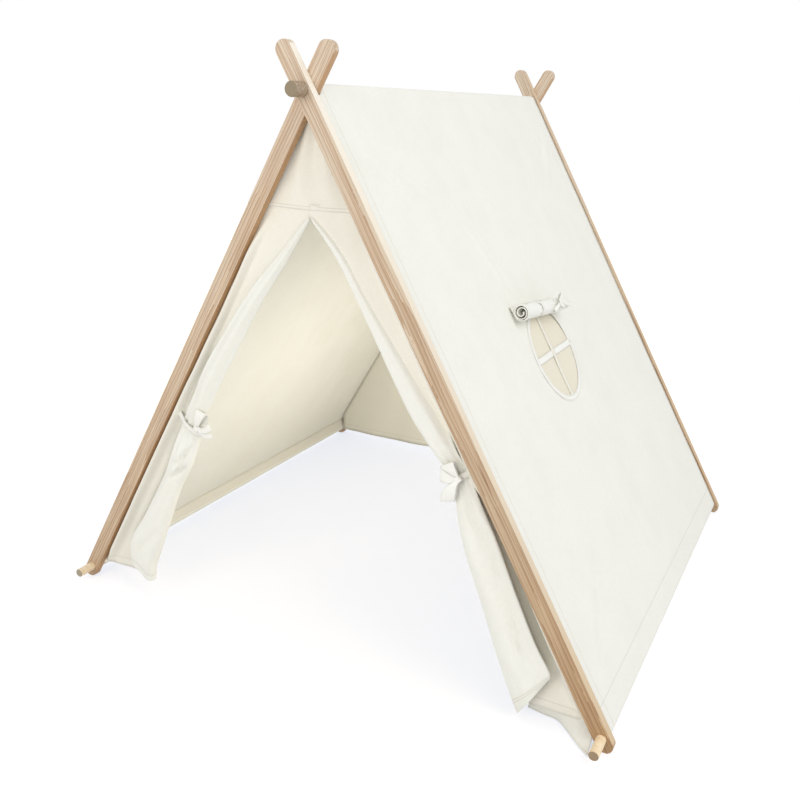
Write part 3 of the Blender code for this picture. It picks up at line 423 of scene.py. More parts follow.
def keep_modifiers(piece):
    """Take the shape that the modifiers make as the piece's own mesh."""
    bpy.context.view_layer.update()
    shown = piece.evaluated_get(bpy.context.evaluated_depsgraph_get())
    mesh = bpy.data.meshes.new_from_object(shown)
    mesh.name = piece.name
    piece.modifiers.clear()
    piece.data = mesh


def cloth_grid(name, columns, rows, place, thickness):
    """A sheet of cloth: place(across, along) gives a point and where it lies in the flat cut."""
    shape = bmesh.new()
    bmesh.ops.create_grid(shape, x_segments=columns, y_segments=rows, size=0.5)
    flat = {}
    for vert in shape.verts:
        vert.co, flat[vert] = place(vert.co.x + 0.5, vert.co.y + 0.5)
    cut = shape.loops.layers.uv.new("cloth")
    for face in shape.faces:
        face.smooth = True
        for loop in face.loops:
            loop[cut].uv = flat[loop.vert]
    bmesh.ops.recalc_face_normals(shape, faces=shape.faces[:])
    piece = new_piece(name, shape)
    cloth = piece.modifiers.new("cloth", "SOLIDIFY")
    cloth.thickness = thickness
    cloth.offset = 0.0
    cloth.use_even_offset = False
    keep_modifiers(piece)
    return piece


def running_lengths(points):
    """How far along a line of points each of them lies."""
    lengths = [0.0]
    for before, after in zip(points, points[1:]):
        lengths.append(lengths[-1] + (after - before).length)
    return lengths


COVER_ROWS = cover_rows()
cover_middles = [slope_point(side, 0.0, down, out) if side
                 else Vector((down, 0.0, RIDGE_HEIGHT + out)) for side, down, out in COVER_ROWS]
cover_lengths = running_lengths(cover_middles)
COVER_CLOTH = cover_lengths[-1]


def cover_place(across, along):
    """A point of the cover, from its front edge to its back edge and from hem to hem."""
    index = round(along * (len(COVER_ROWS) - 1))
    side, down, out = COVER_ROWS[index]
    middle = cover_middles[index]
    if side:
        front, back = cover_edges(side, down)
    else:
        blend = 0.5 + 0.5 * middle.x / WALL_OUT
        front, back = (left * (1 - blend) + right * blend
                       for left, right in zip(cover_edges(-1, 0.0), cover_edges(1, 0.0)))
    y = front + (back - front) * across
    point = Vector((middle.x, y, middle.z))
    if side and out > WALL_OUT / 2:
        normal = Vector((side * cos(LEAN), 0.0, sin(LEAN)))
        point += normal * wall_relief(side, y, down)
    return point, (y, cover_lengths[index])


WINDOW_Y = -0.05165
WINDOW_DOWN = 0.6605
OPENING_RADIUS = 0.117
STITCH_LENGTH = 0.0042
SEAM_HALF_WIDTH = 0.0009


def cotton_canvas(piece, name, colour, stitches=(), thread=0.0016, weave=0.5, gap_shade_edge=None):
    """Give a piece natural cotton canvas: a plain weave of uneven, slubby yarn, dry and quite
    matt, creamy white with faint warm flecks. The 0.8 mm yarn is drawn twice as coarse, so that
    it shows. stitches are sewn lines: the axis of the flat cut that they cross, 0 or 1, and where.
    gap_shade_edge is where the cover's front edge lies beside the pole: a grey band next to it is painted
    shade for the narrow gap there."""
    material, tree = empty_material(name)
    flat = add_node(tree, "UVMap", uv_map="cloth")
    axes = add_node(tree, "SeparateXYZ", (flat,)).outputs
    yarns = []
    slubs = []
    for axis, scale in enumerate(((70.0, 620.0, 1.0), (620.0, 70.0, 1.0))):
        turns = add_node(tree, "Math", (axes[axis], pi / thread), operation="MULTIPLY")
        yarns.append(add_node(tree, "Math", (turns,), operation="SINE"))
        place = add_node(tree, "Mapping", {"Vector": flat, "Scale": scale})
        slubs.append(add_node(tree, "TexNoise", {"Vector": place, "Scale": 1.0,
                                                 "Detail": 2.0}).outputs["Fac"])
    woven = add_node(tree, "Math", yarns, operation="MULTIPLY")
    slubs = add_node(tree, "Math", slubs, operation="ADD")
    height = add_node(tree, "Math", (woven, 0.30, slubs), operation="MULTIPLY_ADD")
    spot = add_node(tree, "TexCoord").outputs["Object"]
    clouds = add_node(tree, "TexNoise", {"Vector": spot, "Scale": 9.0, "Detail": 4.0,
                                         "Roughness": 0.6}).outputs["Fac"]
    warmth = add_node(tree, "MapRange", (clouds, 0.35, 0.7))
    flecks = add_node(tree, "Mix", {"Factor": warmth, 6: srgb(colour), 7: srgb("#EAE6D8")},
                      data_type="RGBA").outputs[2]
    tone = add_node(tree, "Mix", {"Factor": 0.35, 6: srgb(colour), 7: flecks},
                    data_type="RGBA").outputs[2]
    yarn_tone = add_node(tree, "MapRange", (slubs, 0.7, 1.3, 0.965, 1.02))
    tone = add_node(tree, "VectorMath", {0: tone, "Scale": yarn_tone}, operation="SCALE")
    sewn = None
    for axis, place in stitches:
        dashes = add_node(tree, "Math", (axes[1 - axis], tau / STITCH_LENGTH),
                          operation="MULTIPLY")
        dashes = add_node(tree, "Math", (dashes,), operation="SINE")
        dashes = add_node(tree, "Math", (dashes, -0.35), operation="GREATER_THAN")
        line = add_node(tree, "Math", (axes[axis], place, SEAM_HALF_WIDTH), operation="COMPARE")
        line = add_node(tree, "Math", (line, dashes), operation="MULTIPLY")
        sewn = add_node(tree, "Math", (line, sewn), operation="MAXIMUM") if sewn else line
    # Sewn lines are pressed in and drawn darker: the darker tone is painted shade in the dents of the
    # stitches.
    if sewn:
        height = add_node(tree, "Math", (sewn, -3.0, height), operation="MULTIPLY_ADD")
        tone = add_node(tree, "Mix", {"Factor": sewn, 6: tone, 7: srgb("#D9D2C1")},
                        data_type="RGBA").outputs[2]
    # Painted shade: a grey band along the front edge stands in for the shadow in the gap between the pole
    # and the cover.
    if gap_shade_edge:
        gap_shade = add_node(tree, "MapRange", (axes[0], gap_shade_edge + 0.0030, gap_shade_edge + 0.0060,
                                             0.75, 0.0))
        tone = add_node(tree, "Mix", {"Factor": gap_shade, 6: tone, 7: srgb("#8F887A")},
                        data_type="RGBA").outputs[2]
    relief = add_node(tree, "Bump", {"Height": height, "Strength": weave, "Distance": 0.00035})
    surface = add_node(tree, "BsdfPrincipled",
                       {"Base Color": tone, "Roughness": 0.93, "IOR": 1.45,
                        "Specular IOR Level": 0.18, "Sheen Weight": 0.10,
                        "Sheen Roughness": 0.5, "Normal": relief})
    add_node(tree, "OutputMaterial", {"Surface": surface})
    piece.data.materials.append(material)


CANVAS_WHITE = "#F1F0E6"
CANVAS_CREAM = "#F1EDDF"
cover = cloth_grid("cotton_cover", COVER_COLUMNS, len(COVER_ROWS) - 1, cover_place, CANVAS)
hole_shape = bmesh.new()
bmesh.ops.create_cone(hole_shape, cap_ends=True, segments=96, radius1=OPENING_RADIUS,
                      radius2=OPENING_RADIUS, depth=0.1,
                      matrix=Matrix.Translation(slope_point(1, WINDOW_Y, WINDOW_DOWN, WALL_OUT))
                      @ Matrix.Rotation(radians(90) - LEAN, 4, "Y"))
hole = new_piece("window_hole", hole_shape)
opening = cover.modifiers.new("window", "BOOLEAN")
opening.operation = "DIFFERENCE"
opening.solver = "EXACT"
opening.object = hole
keep_modifiers(cover)
bpy.data.objects.remove(hole, do_unlink=True)
HEM_WRAP = 2 * HEM_DEPTH + pi * WALL_OUT
LEFT_WRAP = 2 * LEFT_HEM_DEPTH + pi * WALL_OUT
# The cover's front edge gets a grey band of painted shade for the gap beside the pole.
cotton_canvas(cover, "natural_cotton_canvas_cover", CANVAS_WHITE,
              [(1, HEM_STITCH), (1, HEM_WRAP - HEM_STITCH),
               (1, COVER_CLOTH - LEFT_WRAP + HEM_STITCH), (1, COVER_CLOTH - HEM_STITCH),
               (0, WALL_FRONT + POLE_LAYER + 0.009), (0, WALL_BACK - POLE_LAYER - 0.009)],
              gap_shade_edge=WALL_FRONT)
# The turned hems get a darker canvas as painted shade: the hem round its rod lies in shade and, being
# double, lets less light through.
cotton_canvas(cover, "natural_cotton_canvas_hem_painted_shade", "#E4DFD1",
              [(1, HEM_STITCH), (1, COVER_CLOTH - HEM_STITCH)])
cover_flat = cover.data.uv_layers["cloth"].data
for face in cover.data.polygons:
    cloth = sum(cover_flat[i].uv[1] for i in face.loop_indices) / face.loop_total
    if cloth < HEM_DEPTH or cloth > COVER_CLOTH - LEFT_HEM_DEPTH:
        face.material_index = 1
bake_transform(cover, "right_frame", "left_frame", start=(0.012, 0, RIDGE_HEIGHT),
         end=(-0.012, 0, RIDGE_HEIGHT))
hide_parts("right_wall_panel", "left_wall_panel", "right_hem_sleeve", "left_hem_sleeve")


# The channel for the ridge pole: a strip of the same canvas sewn to the insides of both walls,
# so that it holds the cover down on the ridge pole from below.
CHANNEL_WIDTH = 0.096
CHANNEL_SECTION = [(0.0329, -0.0404), (0.0239, -0.0249), (0.0165, -0.0178), (0.0080, -0.0152),
                   (0.0, -0.0146)]
GABLE_FRONT_Y = -0.57505
BACK_GABLE_Y = 0.60505


def smooth_path(points, share):
    """A point along a smooth line through the given points, share running from 0 to 1."""
    at = min(max(share, 0.0), 1.0) * (len(points) - 1)
    index = min(int(at), len(points) - 2)
    t = at - index
    near = [points[min(max(index + step, 0), len(points) - 1)] for step in (-1, 0, 1, 2)]
    result = []
    for before, here, there, after in zip(*near):
        result.append(0.5 * (2 * here + (there - before) * t
                             + (2 * before - 5 * here + 4 * there - after) * t ** 2
                             + (3 * here - before - 3 * there + after) * t ** 3))
    return result


CHANNEL_PATH = CHANNEL_SECTION + [(-x, z) for x, z in reversed(CHANNEL_SECTION[:-1])]


def channel_place(across, along):
    """A point of the channel strip, which droops a little under the ridge pole."""
    x, z = smooth_path(CHANNEL_PATH, along)
    y = GABLE_FRONT_Y + 0.004 + (BACK_GABLE_Y - GABLE_FRONT_Y - 0.008) * across
    droop = 0.0010 * rumple(y, along, 0.08, 2.0) * sin(pi * along)
    return Vector((x, y, RIDGE_HEIGHT + z + droop)), (y, along * CHANNEL_WIDTH)


def follow_fold(piece, full=radians(22.5)):
    """Share a gable cloth between both sides of the frame by how far each point leans out."""
    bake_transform(piece, "right_frame", "left_frame", start=(0.1, 0, 0.6), end=(-0.1, 0, 0.6))
    weights = piece.data.attributes["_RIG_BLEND"].data
    for vert, weight in zip(piece.data.vertices, weights):
        lean = atan2(vert.co.x, RIDGE_HEIGHT - vert.co.z)
        weight.value = min(max(0.5 - 0.5 * lean / full, 0.0), 1.0)


channel = cloth_grid("ridge_channel", 90, 20, channel_place, CANVAS)
cotton_canvas(channel, "natural_cotton_canvas_channel", CANVAS_WHITE,
              [(1, 0.005), (1, CHANNEL_WIDTH - 0.005)])
follow_fold(channel, LEAN)
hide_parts("ridge_sleeve")


# The header: the canvas triangle that closes the front above the door. It hangs from the seams
# with the walls, is gathered a little under the crossing of the poles, and its lower edge is
# turned under and sewn over the tops of the two curtains.
GABLE_TOP = 1.1655
SEAM_HEIGHT = 0.971
HEADER_LAP = 0.008
SEWN_IN = 0.0094


def gable_half(z):
    """Half the width of the gable cloth at a height, just inside the walls and their hems."""
    hem_top = SLOPE_LENGTH - HEM_DEPTH
    high_z = RIDGE_HEIGHT - hem_top * cos(LEAN) + SEWN_IN * sin(LEAN)
    if z >= high_z:
        return (SEWN_IN + (RIDGE_HEIGHT - z) * sin(LEAN)) / cos(LEAN)
    high_x = hem_top * sin(LEAN) + (SEWN_IN - 0.003) * cos(LEAN)
    low_x = SLOPE_LENGTH * sin(LEAN) - 0.0135 * cos(LEAN)
    low_z = RIDGE_HEIGHT - SLOPE_LENGTH * cos(LEAN) - 0.0135 * sin(LEAN)
    return high_x + (low_x - high_x) * min((high_z - z) / (high_z - low_z), 1.0)


def header_place(across, along):
    """A point of the header, with gathers that fan out from the crossing."""
    z = SEAM_HEIGHT - HEADER_LAP + (GABLE_TOP - SEAM_HEIGHT + HEADER_LAP) * along
    droop = 0.004 * sin(pi * across) * (1 - along) ** 2
    x = (2 * across - 1) * gable_half(z)
    fade = sin(pi * across) ** 0.7 * min(along * 3.5, 1.0) * (1.0 - 0.25 * along)
    gathers = cos(tau * (3.2 * (across - 0.5) + 0.10 * sin(5 * along)))
    fold = 0.0046 * fade * (0.6 + gathers)
    fold += 0.0026 * rumple(x, z * 0.6, 0.036, 4.0) * fade
    lap = -0.0021 * smooth_step(SEAM_HEIGHT + 0.010, SEAM_HEIGHT + 0.001, z)
    return Vector((x, GABLE_FRONT_Y + fold + lap, z - droop)), (x, z)


header = cloth_grid("front_header", 64, 44, header_place, CANVAS)
cotton_canvas(header, "natural_cotton_canvas_header", CANVAS_CREAM, [(1, SEAM_HEIGHT - 0.0015)])
follow_fold(header)
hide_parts("front_header_panel")


# The back gable: a canvas triangle sewn between the walls all the way down. It hangs slack, in
# soft upright folds that deepen towards its hem, a few centimetres clear of the floor.
GABLE_HEM = 0.028


def gable_place(across, along):
    """A point of the back gable."""
    fall = 1.0 - along
    z = GABLE_HEM + (GABLE_TOP - GABLE_HEM) * along
    x = (2 * across - 1) * (gable_half(z) - 0.0008 - 0.006 * smooth_step(0.080, 0.040, z))
    fade = sin(pi * across) ** 0.6 * fall ** 1.4
    phase = tau * (3.0 * (across - 0.37)) + fall
    fold = -0.0135 * fade * (1 + cos(phase)) / 2
    fold -= 0.0045 * fade * (1 + cos(tau * 7.3 * (across + 0.02 * fall) + 1.1)) / 2
    fold -= 0.0025 * rumple(x, z * 0.45, 0.085, 6.0) * sin(pi * across) * min(fall * 4, 1)
    lift = 0.0045 * cos(phase) * fade * fall ** 3
    return Vector((x, BACK_GABLE_Y + fold, z + lift)), (x, z)


gable = cloth_grid("back_gable", 96, 84, gable_place, CANVAS)
cotton_canvas(gable, "natural_cotton_canvas_back", CANVAS_CREAM,
              [(1, GABLE_HEM + 0.020), (1, GABLE_HEM + 0.004)])
follow_fold(gable, LEAN)
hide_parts("back_gable_panel")


# The two door curtains: canvas panels sewn to the header and to the walls. The free half of each
# is turned back on itself into a soft lapel with a crisp outer edge and tied to the side, and
# what stays beside the pole hangs as a plain strip behind it. Each lapel is listed from the top
# of the door down: the edge beside the pole, the edge beside the doorway, and its thickness.
LEFT_LAPEL = [
    ((-0.0115, 0.9455), (-0.0078, 0.9435), 0.004), ((-0.0834, 0.861), (-0.066, 0.849), 0.012),
    ((-0.152, 0.781), (-0.125, 0.762), 0.018), ((-0.259, 0.627), (-0.220, 0.599), 0.022),
    ((-0.305, 0.538), (-0.268, 0.512), 0.022), ((-0.337, 0.477), (-0.293, 0.451), 0.020),
    ((-0.369, 0.400), (-0.322, 0.371), 0.024), ((-0.398, 0.331), (-0.360, 0.303), 0.026),
    ((-0.460, 0.222), (-0.410, 0.178), 0.028), ((-0.511, 0.140), (-0.445, 0.094), 0.030),
    ((-0.513, 0.078), (-0.455, 0.044), 0.028),
]
RIGHT_LAPEL = [
    ((-0.0020, 0.9455), (-0.0056, 0.9435), 0.004), ((0.0690, 0.884), (0.055, 0.874), 0.011),
    ((0.132, 0.797), (0.112, 0.783), 0.015), ((0.257, 0.634), (0.215, 0.605), 0.020),
    ((0.307, 0.562), (0.268, 0.535), 0.020), ((0.349, 0.494), (0.316, 0.474), 0.018),
    ((0.394, 0.418), (0.340, 0.386), 0.024), ((0.422, 0.366), (0.358, 0.326), 0.026),
    ((0.465, 0.272), (0.397, 0.230), 0.028), ((0.509, 0.182), (0.435, 0.130), 0.030),
    ((0.543, 0.127), (0.468, 0.050), 0.030), ((0.5435, 0.110), (0.484, 0.010), 0.026),
]
SIDES = ((-1, "left", LEFT_LAPEL), (1, "right", RIGHT_LAPEL))
TIE_STATION = 5.0
LAPEL_BACK = -0.57615
LAPEL_FULLNESS = 1.22
LAPEL_SECTION = [
    (0.40, 0.34), (0.62, 0.20), (0.84, 0.14), (0.97, 0.28), (1.00, 0.56), (0.94, 0.86),
    (0.78, 0.99), (0.56, 0.99), (0.34, 0.93), (0.14, 0.84), (0.02, 0.77), (-0.005, 0.69),
    (0.04, 0.62), (0.25, 0.62), (0.50, 0.66), (0.72, 0.64),
]
LAPEL_WRAP = 2.9
LAPEL_STEPS = 84
LAPEL_SPLIT = 0.004
DOORWAY_ROLL = {-1: 0.28, 1: 0.10}
OUTER_EDGE_DROP = {-1: 0.10, 1: 0.70}


def lapel_station(stations, at):
    """The two edges and the thickness of a lapel between its listed places, smoothly joined."""
    flat = [(*outer, *inner, thick) for outer, inner, thick in stations]
    values = smooth_path(flat, at / (len(stations) - 1))
    return Vector(values[0:2]), Vector(values[2:4]), values[4]


def lapel_middle(stations, at):
    """The middle between a lapel's two edges."""
    outer, inner, _ = lapel_station(stations, at)
    return (outer + inner) / 2


def lapel_point(stations, side, at, across, seed):
    """A point of a lapel: its folded section, gathered under the tie and softly creased."""
    outer, inner, thick = lapel_station(stations, at)
    depth = thick * LAPEL_FULLNESS
    width = (inner - outer).length
    over = (inner - outer).normalized()
    a, b = smooth_path(LAPEL_SECTION, across)
    above = smooth_step(4.6, 3.6, at)
    b -= above * DOORWAY_ROLL[side] * smooth_step(0.50, 0.94, a) \
        * smooth_step(0.22, 0.34, across) * smooth_step(0.80, 0.70, across)
    b *= 1.0 - above * OUTER_EDGE_DROP[side] * smooth_step(0.36, 0.0, a) \
        * smooth_step(0.30, 0.45, across)
    front = smooth_step(0.30, 0.42, across) * smooth_step(0.72, 0.62, across)
    from_tie = at - TIE_STATION
    gather = hump(from_tie, 0.75)
    open_out = smooth_step(0.25, 1.6, abs(from_tie))
    pleat = cos(tau * (2.6 * a + 0.10 * from_tie) + seed)
    rise = 0.0026 * gather * pleat * front
    drift = 0.35 * sin(0.8 * at + seed)
    long_fold = cos(tau * (1.15 * a + 0.07 * at) + drift + seed * 2)
    rise += 0.0024 * open_out * long_fold * front * min(width / 0.05, 1.3)
    rise += 0.0016 * rumple(a * width, at * 0.045, 0.022, seed + 1.0) * front
    pinch = 1.0 - 0.28 * hump(from_tie, 0.45)
    point = outer + over * (a * width)
    y = LAPEL_BACK - 0.0008 - depth * b * pinch - rise
    return Vector((point.x, y, point.y)), width


def make_lapel(name, stations, side, start, end, seed, folds=()):
    """The part of a lapel between two of its stations, and how long it is."""
    places = [start + (end - start) * i / LAPEL_STEPS for i in range(LAPEL_STEPS + 1)]
    lengths = running_lengths([lapel_middle(stations, at) for at in places])

    def place(across, along):
        step = round((1.0 - along) * LAPEL_STEPS)
        point, width = lapel_point(stations, side, places[step], across, seed)
        cloth = lengths[step]
        a = smooth_path(LAPEL_SECTION, across)[0]
        if 0.36 < across < 0.70:
            for first, last, wide, height in folds:
                point.y -= crease((a * width, cloth), first, last, wide, height)
        return point, (across * width * LAPEL_WRAP, cloth)

    return cloth_grid(name, 44, LAPEL_STEPS, place, CANVAS), lengths[-1]


TAIL_FOLDS = {-1: [
    ((0.050, 0.026), (0.022, 0.112), 0.0045, -0.0090),
    ((0.052, 0.050), (0.026, 0.136), 0.0042, 0.0062),
    ((0.054, 0.080), (0.016, 0.150), 0.0045, -0.0085),
    ((0.012, 0.020), (0.020, 0.100), 0.0050, 0.0026),
    ((0.060, 0.260), (0.030, 0.400), 0.0070, -0.0026),
], 1: [
    ((0.010, 0.010), (0.018, 0.120), 0.0050, -0.0034),
    ((0.040, 0.012), (0.030, 0.140), 0.0050, 0.0028),
    ((0.016, 0.260), (0.052, 0.440), 0.0050, -0.0070),
    ((0.010, 0.150), (0.024, 0.240), 0.0040, -0.0040),
]}
LAPEL_SEEDS = {-1: 0.4, 1: 2.1}
for side, side_name, stations in SIDES:
    gather, long_way = make_lapel(side_name + "_curtain_lapel", stations, side, 0.0,
                                  TIE_STATION - LAPEL_SPLIT, LAPEL_SEEDS[side])
    cotton_canvas(gather, "natural_cotton_canvas_" + side_name + "_lapel", CANVAS_WHITE)
    follow_fold(gather)
    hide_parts(side_name + "_curtain_gather")
    last = float(len(stations) - 1)
    skirt, long_way = make_lapel(side_name + "_curtain_tail", stations, side,
                                 TIE_STATION + LAPEL_SPLIT, last, LAPEL_SEEDS[side],
                                 TAIL_FOLDS[side])
    cotton_canvas(skirt, "natural_cotton_canvas_" + side_name + "_tail", CANVAS_WHITE,
                  [(1, long_way - 0.021), (1, long_way - 0.016)])
    pivot = lapel_middle(stations, TIE_STATION)
    below = lapel_middle(stations, TIE_STATION + 1.4)
    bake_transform(skirt, side_name + "_frame", side_name + "_skirt", start=(pivot.x, -0.588, pivot.y),
             end=(below.x, -0.588, below.y))
    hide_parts(side_name + "_curtain_skirt")


def edge_at(points, z):
    """The place of a listed edge at a height, straight between its points."""
    for (x0, z0), (x1, z1) in zip(points, points[1:]):
        if z >= z1:
            return x0 + (x1 - x0) * (z0 - z) / (z0 - z1)
    return points[-1][0]


STRIP_HEMS = {-1: (0.046, 0.036), 1: (0.031, 0.033)}
STRIP_BULGE = {-1: 0.018, 1: 0.022}
STRIP_RIDGE = {-1: 0.009, 1: 0.014}
STRIP_VALLEY = {-1: (0.012, 0.014), 1: (0.005, 0.020)}
STRIP_FORWARD = {-1: 0.005, 1: 0.013}
DOOR_MIDDLE = -0.0067
POLE_HALF_WIDTH = 0.0196
STRIP_TUCK = 0.009
STRIP_SEEDS = {-1: 5.5, 1: 7.2}
for side, side_name, stations in SIDES:
    seed = STRIP_SEEDS[side]
    free_edge = [(DOOR_MIDDLE - side * 0.003, SEAM_HEIGHT), (DOOR_MIDDLE - side * 0.003, 0.9475)]
    free_edge += [(inner[0] + side * STRIP_TUCK, inner[1]) for _, inner, _ in stations[1:-1]]
    free_edge.append((stations[-1][1][0] + side * 2 * STRIP_TUCK, stations[-1][1][1]))
    free_edge.append((free_edge[-1][0], 0.0))
    fold_edge = [(outer[0] + side * 0.005, outer[1]) for outer, _, _ in stations]
    tie_height = stations[int(TIE_STATION)][0][1]
    pole_hem, door_hem = STRIP_HEMS[side]

    def strip_place(across, along):
        """A point of the strip, from the wall to its free edge behind the lapel."""
        low = pole_hem + (door_hem - pole_hem) * across
        z = low + (SEAM_HEIGHT - low) * along
        wall_x = side * gable_half(z)
        x = wall_x + (edge_at(free_edge, z) - wall_x) * across
        fall = 1.0 - along
        calm = sin(pi * min(across * 1.15, 1.0)) * min(fall * 6.0, 1.0)
        sway = 0.0042 * calm * sin(9 * fall + seed)
        sway += 0.0022 * calm * rumple(x, z * 0.5, 0.05, seed)
        slack = 0.0035 * smooth_step(0.5, 1.0, fall) * sin(tau * across + 3 * fall)
        in_front = -0.0019 if side > 0 else 0.0
        in_front *= smooth_step(0.90, 0.94, z) * smooth_step(0.6, 1.0, across)
        held = 1.0 - hump(z - tie_height, 0.035)
        below = smooth_step(tie_height, tie_height - 0.10, z)
        above, under = STRIP_VALLEY[side]
        valley = (above + (under - above) * below) * smooth_step(0.72, 0.58, z) * held
        valley *= smooth_step(0.06, 0.17, z)
        dip = valley * hump(x - edge_at(fold_edge, z), 0.007 + 0.004 * below)
        pole_edge = (RIDGE_HEIGHT - z) * tan(LEAN) - POLE_HALF_WIDTH
        beside = pole_edge - STRIP_RIDGE[side] - side * x
        reach = 0.012 if beside > 0 else 0.0062
        bulge = STRIP_BULGE[side] * hump(beside, reach)
        bulge *= smooth_step(0.955, 0.86, z) * smooth_step(0.0, 0.10, z)
        pushed = STRIP_FORWARD[side] * smooth_step(0.955, 0.86, z)
        pushed *= smooth_step(tie_height - 0.03, tie_height + 0.08, z)
        pushed *= smooth_step(0.0, 0.2, across) * smooth_step(1.0, 0.85, across)
        bulge = max(bulge, pushed)
        if side > 0:
            bulge += 0.010 * smooth_step(0.11, 0.04, z) * smooth_step(0.617, 0.600, x)
        y = GABLE_FRONT_Y + max((sway + slack * calm) * held, -0.0006) + dip - bulge + in_front
        return Vector((x, y, z)), (x, z)

    strip = cloth_grid(side_name + "_curtain_strip", 56, 120, strip_place, CANVAS)
    cotton_canvas(strip, "natural_cotton_canvas_" + side_name + "_strip", CANVAS_CREAM,
                  [(1, max(pole_hem, door_hem) + 0.018)])
    follow_fold(strip)
    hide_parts(side_name + "_door_panel")


# The corner of the right curtain that lies on the floor: it slides out under the strip's hem and
# spreads forward, left of the foot of the pole.
CORNER_HEM = [(0.496, -0.5690, 0.010), (0.527, -0.5670, 0.004), (0.560, -0.5700, 0.0025),
              (0.589, -0.5950, 0.0022), (0.616, -0.6230, 0.0022), (0.641, -0.6440, 0.0022)]
CORNER_WIDTH = 0.145
CORNER_TOP = [(0.505, -0.5690, 0.052), (0.535, -0.5690, 0.052), (0.565, -0.5690, 0.050),
              (0.590, -0.5695, 0.045), (0.615, -0.5710, 0.040), (0.637, -0.5770, 0.034)]


def corner_place(across, along):
    """A point of the corner, from its hem on the floor up behind the strip."""
    hem = Vector(smooth_path(CORNER_HEM, across))
    top = Vector(smooth_path(CORNER_TOP, across))
    bulge = sin(pi * along)
    point = hem.lerp(top, along)
    point.y += -0.006 * bulge * sin(pi * across)
    point.z += (0.004 * bulge - 0.012 * bulge * (1 - along)) * (0.4 + 0.6 * across)
    point.z = max(point.z + 0.0015 * rumple(across * 0.1, along * 0.06, 0.02, 9.0) * bulge, 0.0016)
    return point, (across * CORNER_WIDTH, along * 0.06)


corner = cloth_grid("right_curtain_corner", 36, 16, corner_place, CANVAS)
cotton_canvas(corner, "natural_cotton_canvas_corner", CANVAS_WHITE, [(1, 0.006)])
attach(corner, "right_frame")


# The two ties: white cotton tapes sewn into the seam beside each pole. Each goes round its
# curtain, closes in a knot beside the doorway, and ends in the loops and the cut ends of a bow.
TIE_WIDTH = 0.014
TIE_TAPE = 0.0011
TAPE_WHITE = "#F3F2EA"
TAPE_THREAD = 0.0011


def ribbon(name, stations, columns, steps, to_place):
    """A tape along its stations, each a middle point and a vector from edge to edge."""
    flat = [(*middle, *across) for middle, across in stations]
    line = [to_place(Vector(smooth_path(flat, i / steps)[:3])) for i in range(steps + 1)]
    lengths = running_lengths(line)
    width = (to_place(Vector(flat[0][:3]) + Vector(flat[0][3:])) - line[0]).length

    def place(across, along):
        values = smooth_path(flat, along)
        point = Vector(values[:3]) + Vector(values[3:]) * (across - 0.5)
        return to_place(point), (across * width, lengths[round(along * steps)])

    return cloth_grid(name, columns, steps, place, TIE_TAPE), lengths[-1]


def knot_ring(turn, radius, thick, width):
    """A tape wound once round a knot, in the bow's own millimetres."""
    up = (cos(radians(turn)), sin(radians(turn)))
    stations = []
    for i in range(15):
        angle = tau * i / 13
        reach = radius * cos(angle)
        stations.append(((up[0] * reach, up[1] * reach, 1.5 + thick * sin(angle)),
                         (-up[1] * width, up[0] * width, 0.0)))
    return stations


def tie_bow(name, strands, knot, knot_steps, to_place):
    """A bow of several strands of tape and a knot, as one piece, and the length of its tape."""
    tapes = [ribbon("tape", strand, 6, 36, to_place) for strand in strands]
    tapes.append(ribbon("tape", knot_ring(*knot), 6, knot_steps, to_place))
    shape = bmesh.new()
    for piece, _ in tapes:
        shape.from_mesh(piece.data)
        bpy.data.objects.remove(piece, do_unlink=True)
    return new_piece(name, shape), sum(length for _, length in tapes)


TIE_PATH = [(-0.044, 0.0004), (-0.028, 0.0050), (-0.006, 0.0150)]
BOWS = {-1: [
    [((0, 0, 3), (9, 6, 0)), ((6, 18, 8), (18, -4, 0)), ((12, 33, 9), (23, -9, 0)),
     ((17, 41, 5), (24, -10, -2)), ((20, 32, -1), (21, -7, -3)), ((14, 12, -2), (15, 1, -2)),
     ((0, 0, 0), (9, 6, 0))],
    [((0, 2, 2), (4, 10, 0)), ((15, -2, 8), (4, 14, 1)), ((30, 3, 7), (-3, 15, 2)),
     ((36, 10, 2), (-6, 14, 2)), ((27, 6, -3), (-2, 12, 0)), ((9, 0, -2), (4, 10, 0))],
    [((0, 0, 1), (4, 10, 0)), ((12, -9, 4), (5, 11, 0)), ((25, -14, 3), (3, 12, 0)),
     ((39, -12, -1), (-1, 12, 1))],
], 1: [
    [((0, 0, 2), (9, 2, 0)), ((-9, 13, 7), (18, 8, 0)), ((-19, 25, 8), (26, 14, 1)),
     ((-22, 29, 4), (27, 15, 0)), ((-18, 24, 0), (24, 13, 0)), ((-8, 10, -1), (14, 7, 0)),
     ((0, 0, 0), (9, 2, 0))],
    [((0, 0, 3), (5, 8, 0)), ((-14, 1, 10), (3, 18, 0)), ((-28, 4, 9), (2, 24, 1)),
     ((-34, 5, 5), (1, 24, 0)), ((-26, 4, 0), (1, 20, 0)), ((-10, 1, -1), (3, 12, 0)),
     ((0, 0, 0), (5, 8, 0))],
    [((0, 0, 3), (10, 0, 0)), ((-8, -11, 9), (20, 3, 0)), ((-14, -26, 10), (29, 4, 0)),
     ((-17, -45, 6), (30, 5, -2)), ((-17, -44, 2), (29, 5, -2)), ((-12, -25, -1), (24, 3, 0)),
     ((-6, -10, -1), (14, 1, 0)), ((0, 0, 0), (10, 0, 0))],
]}
KNOTS = {-1: (-0.290, -0.6030, 0.470), 1: (0.336, -0.6050, 0.484)}
KNOT_TURNS = {-1: 150, 1: 50}
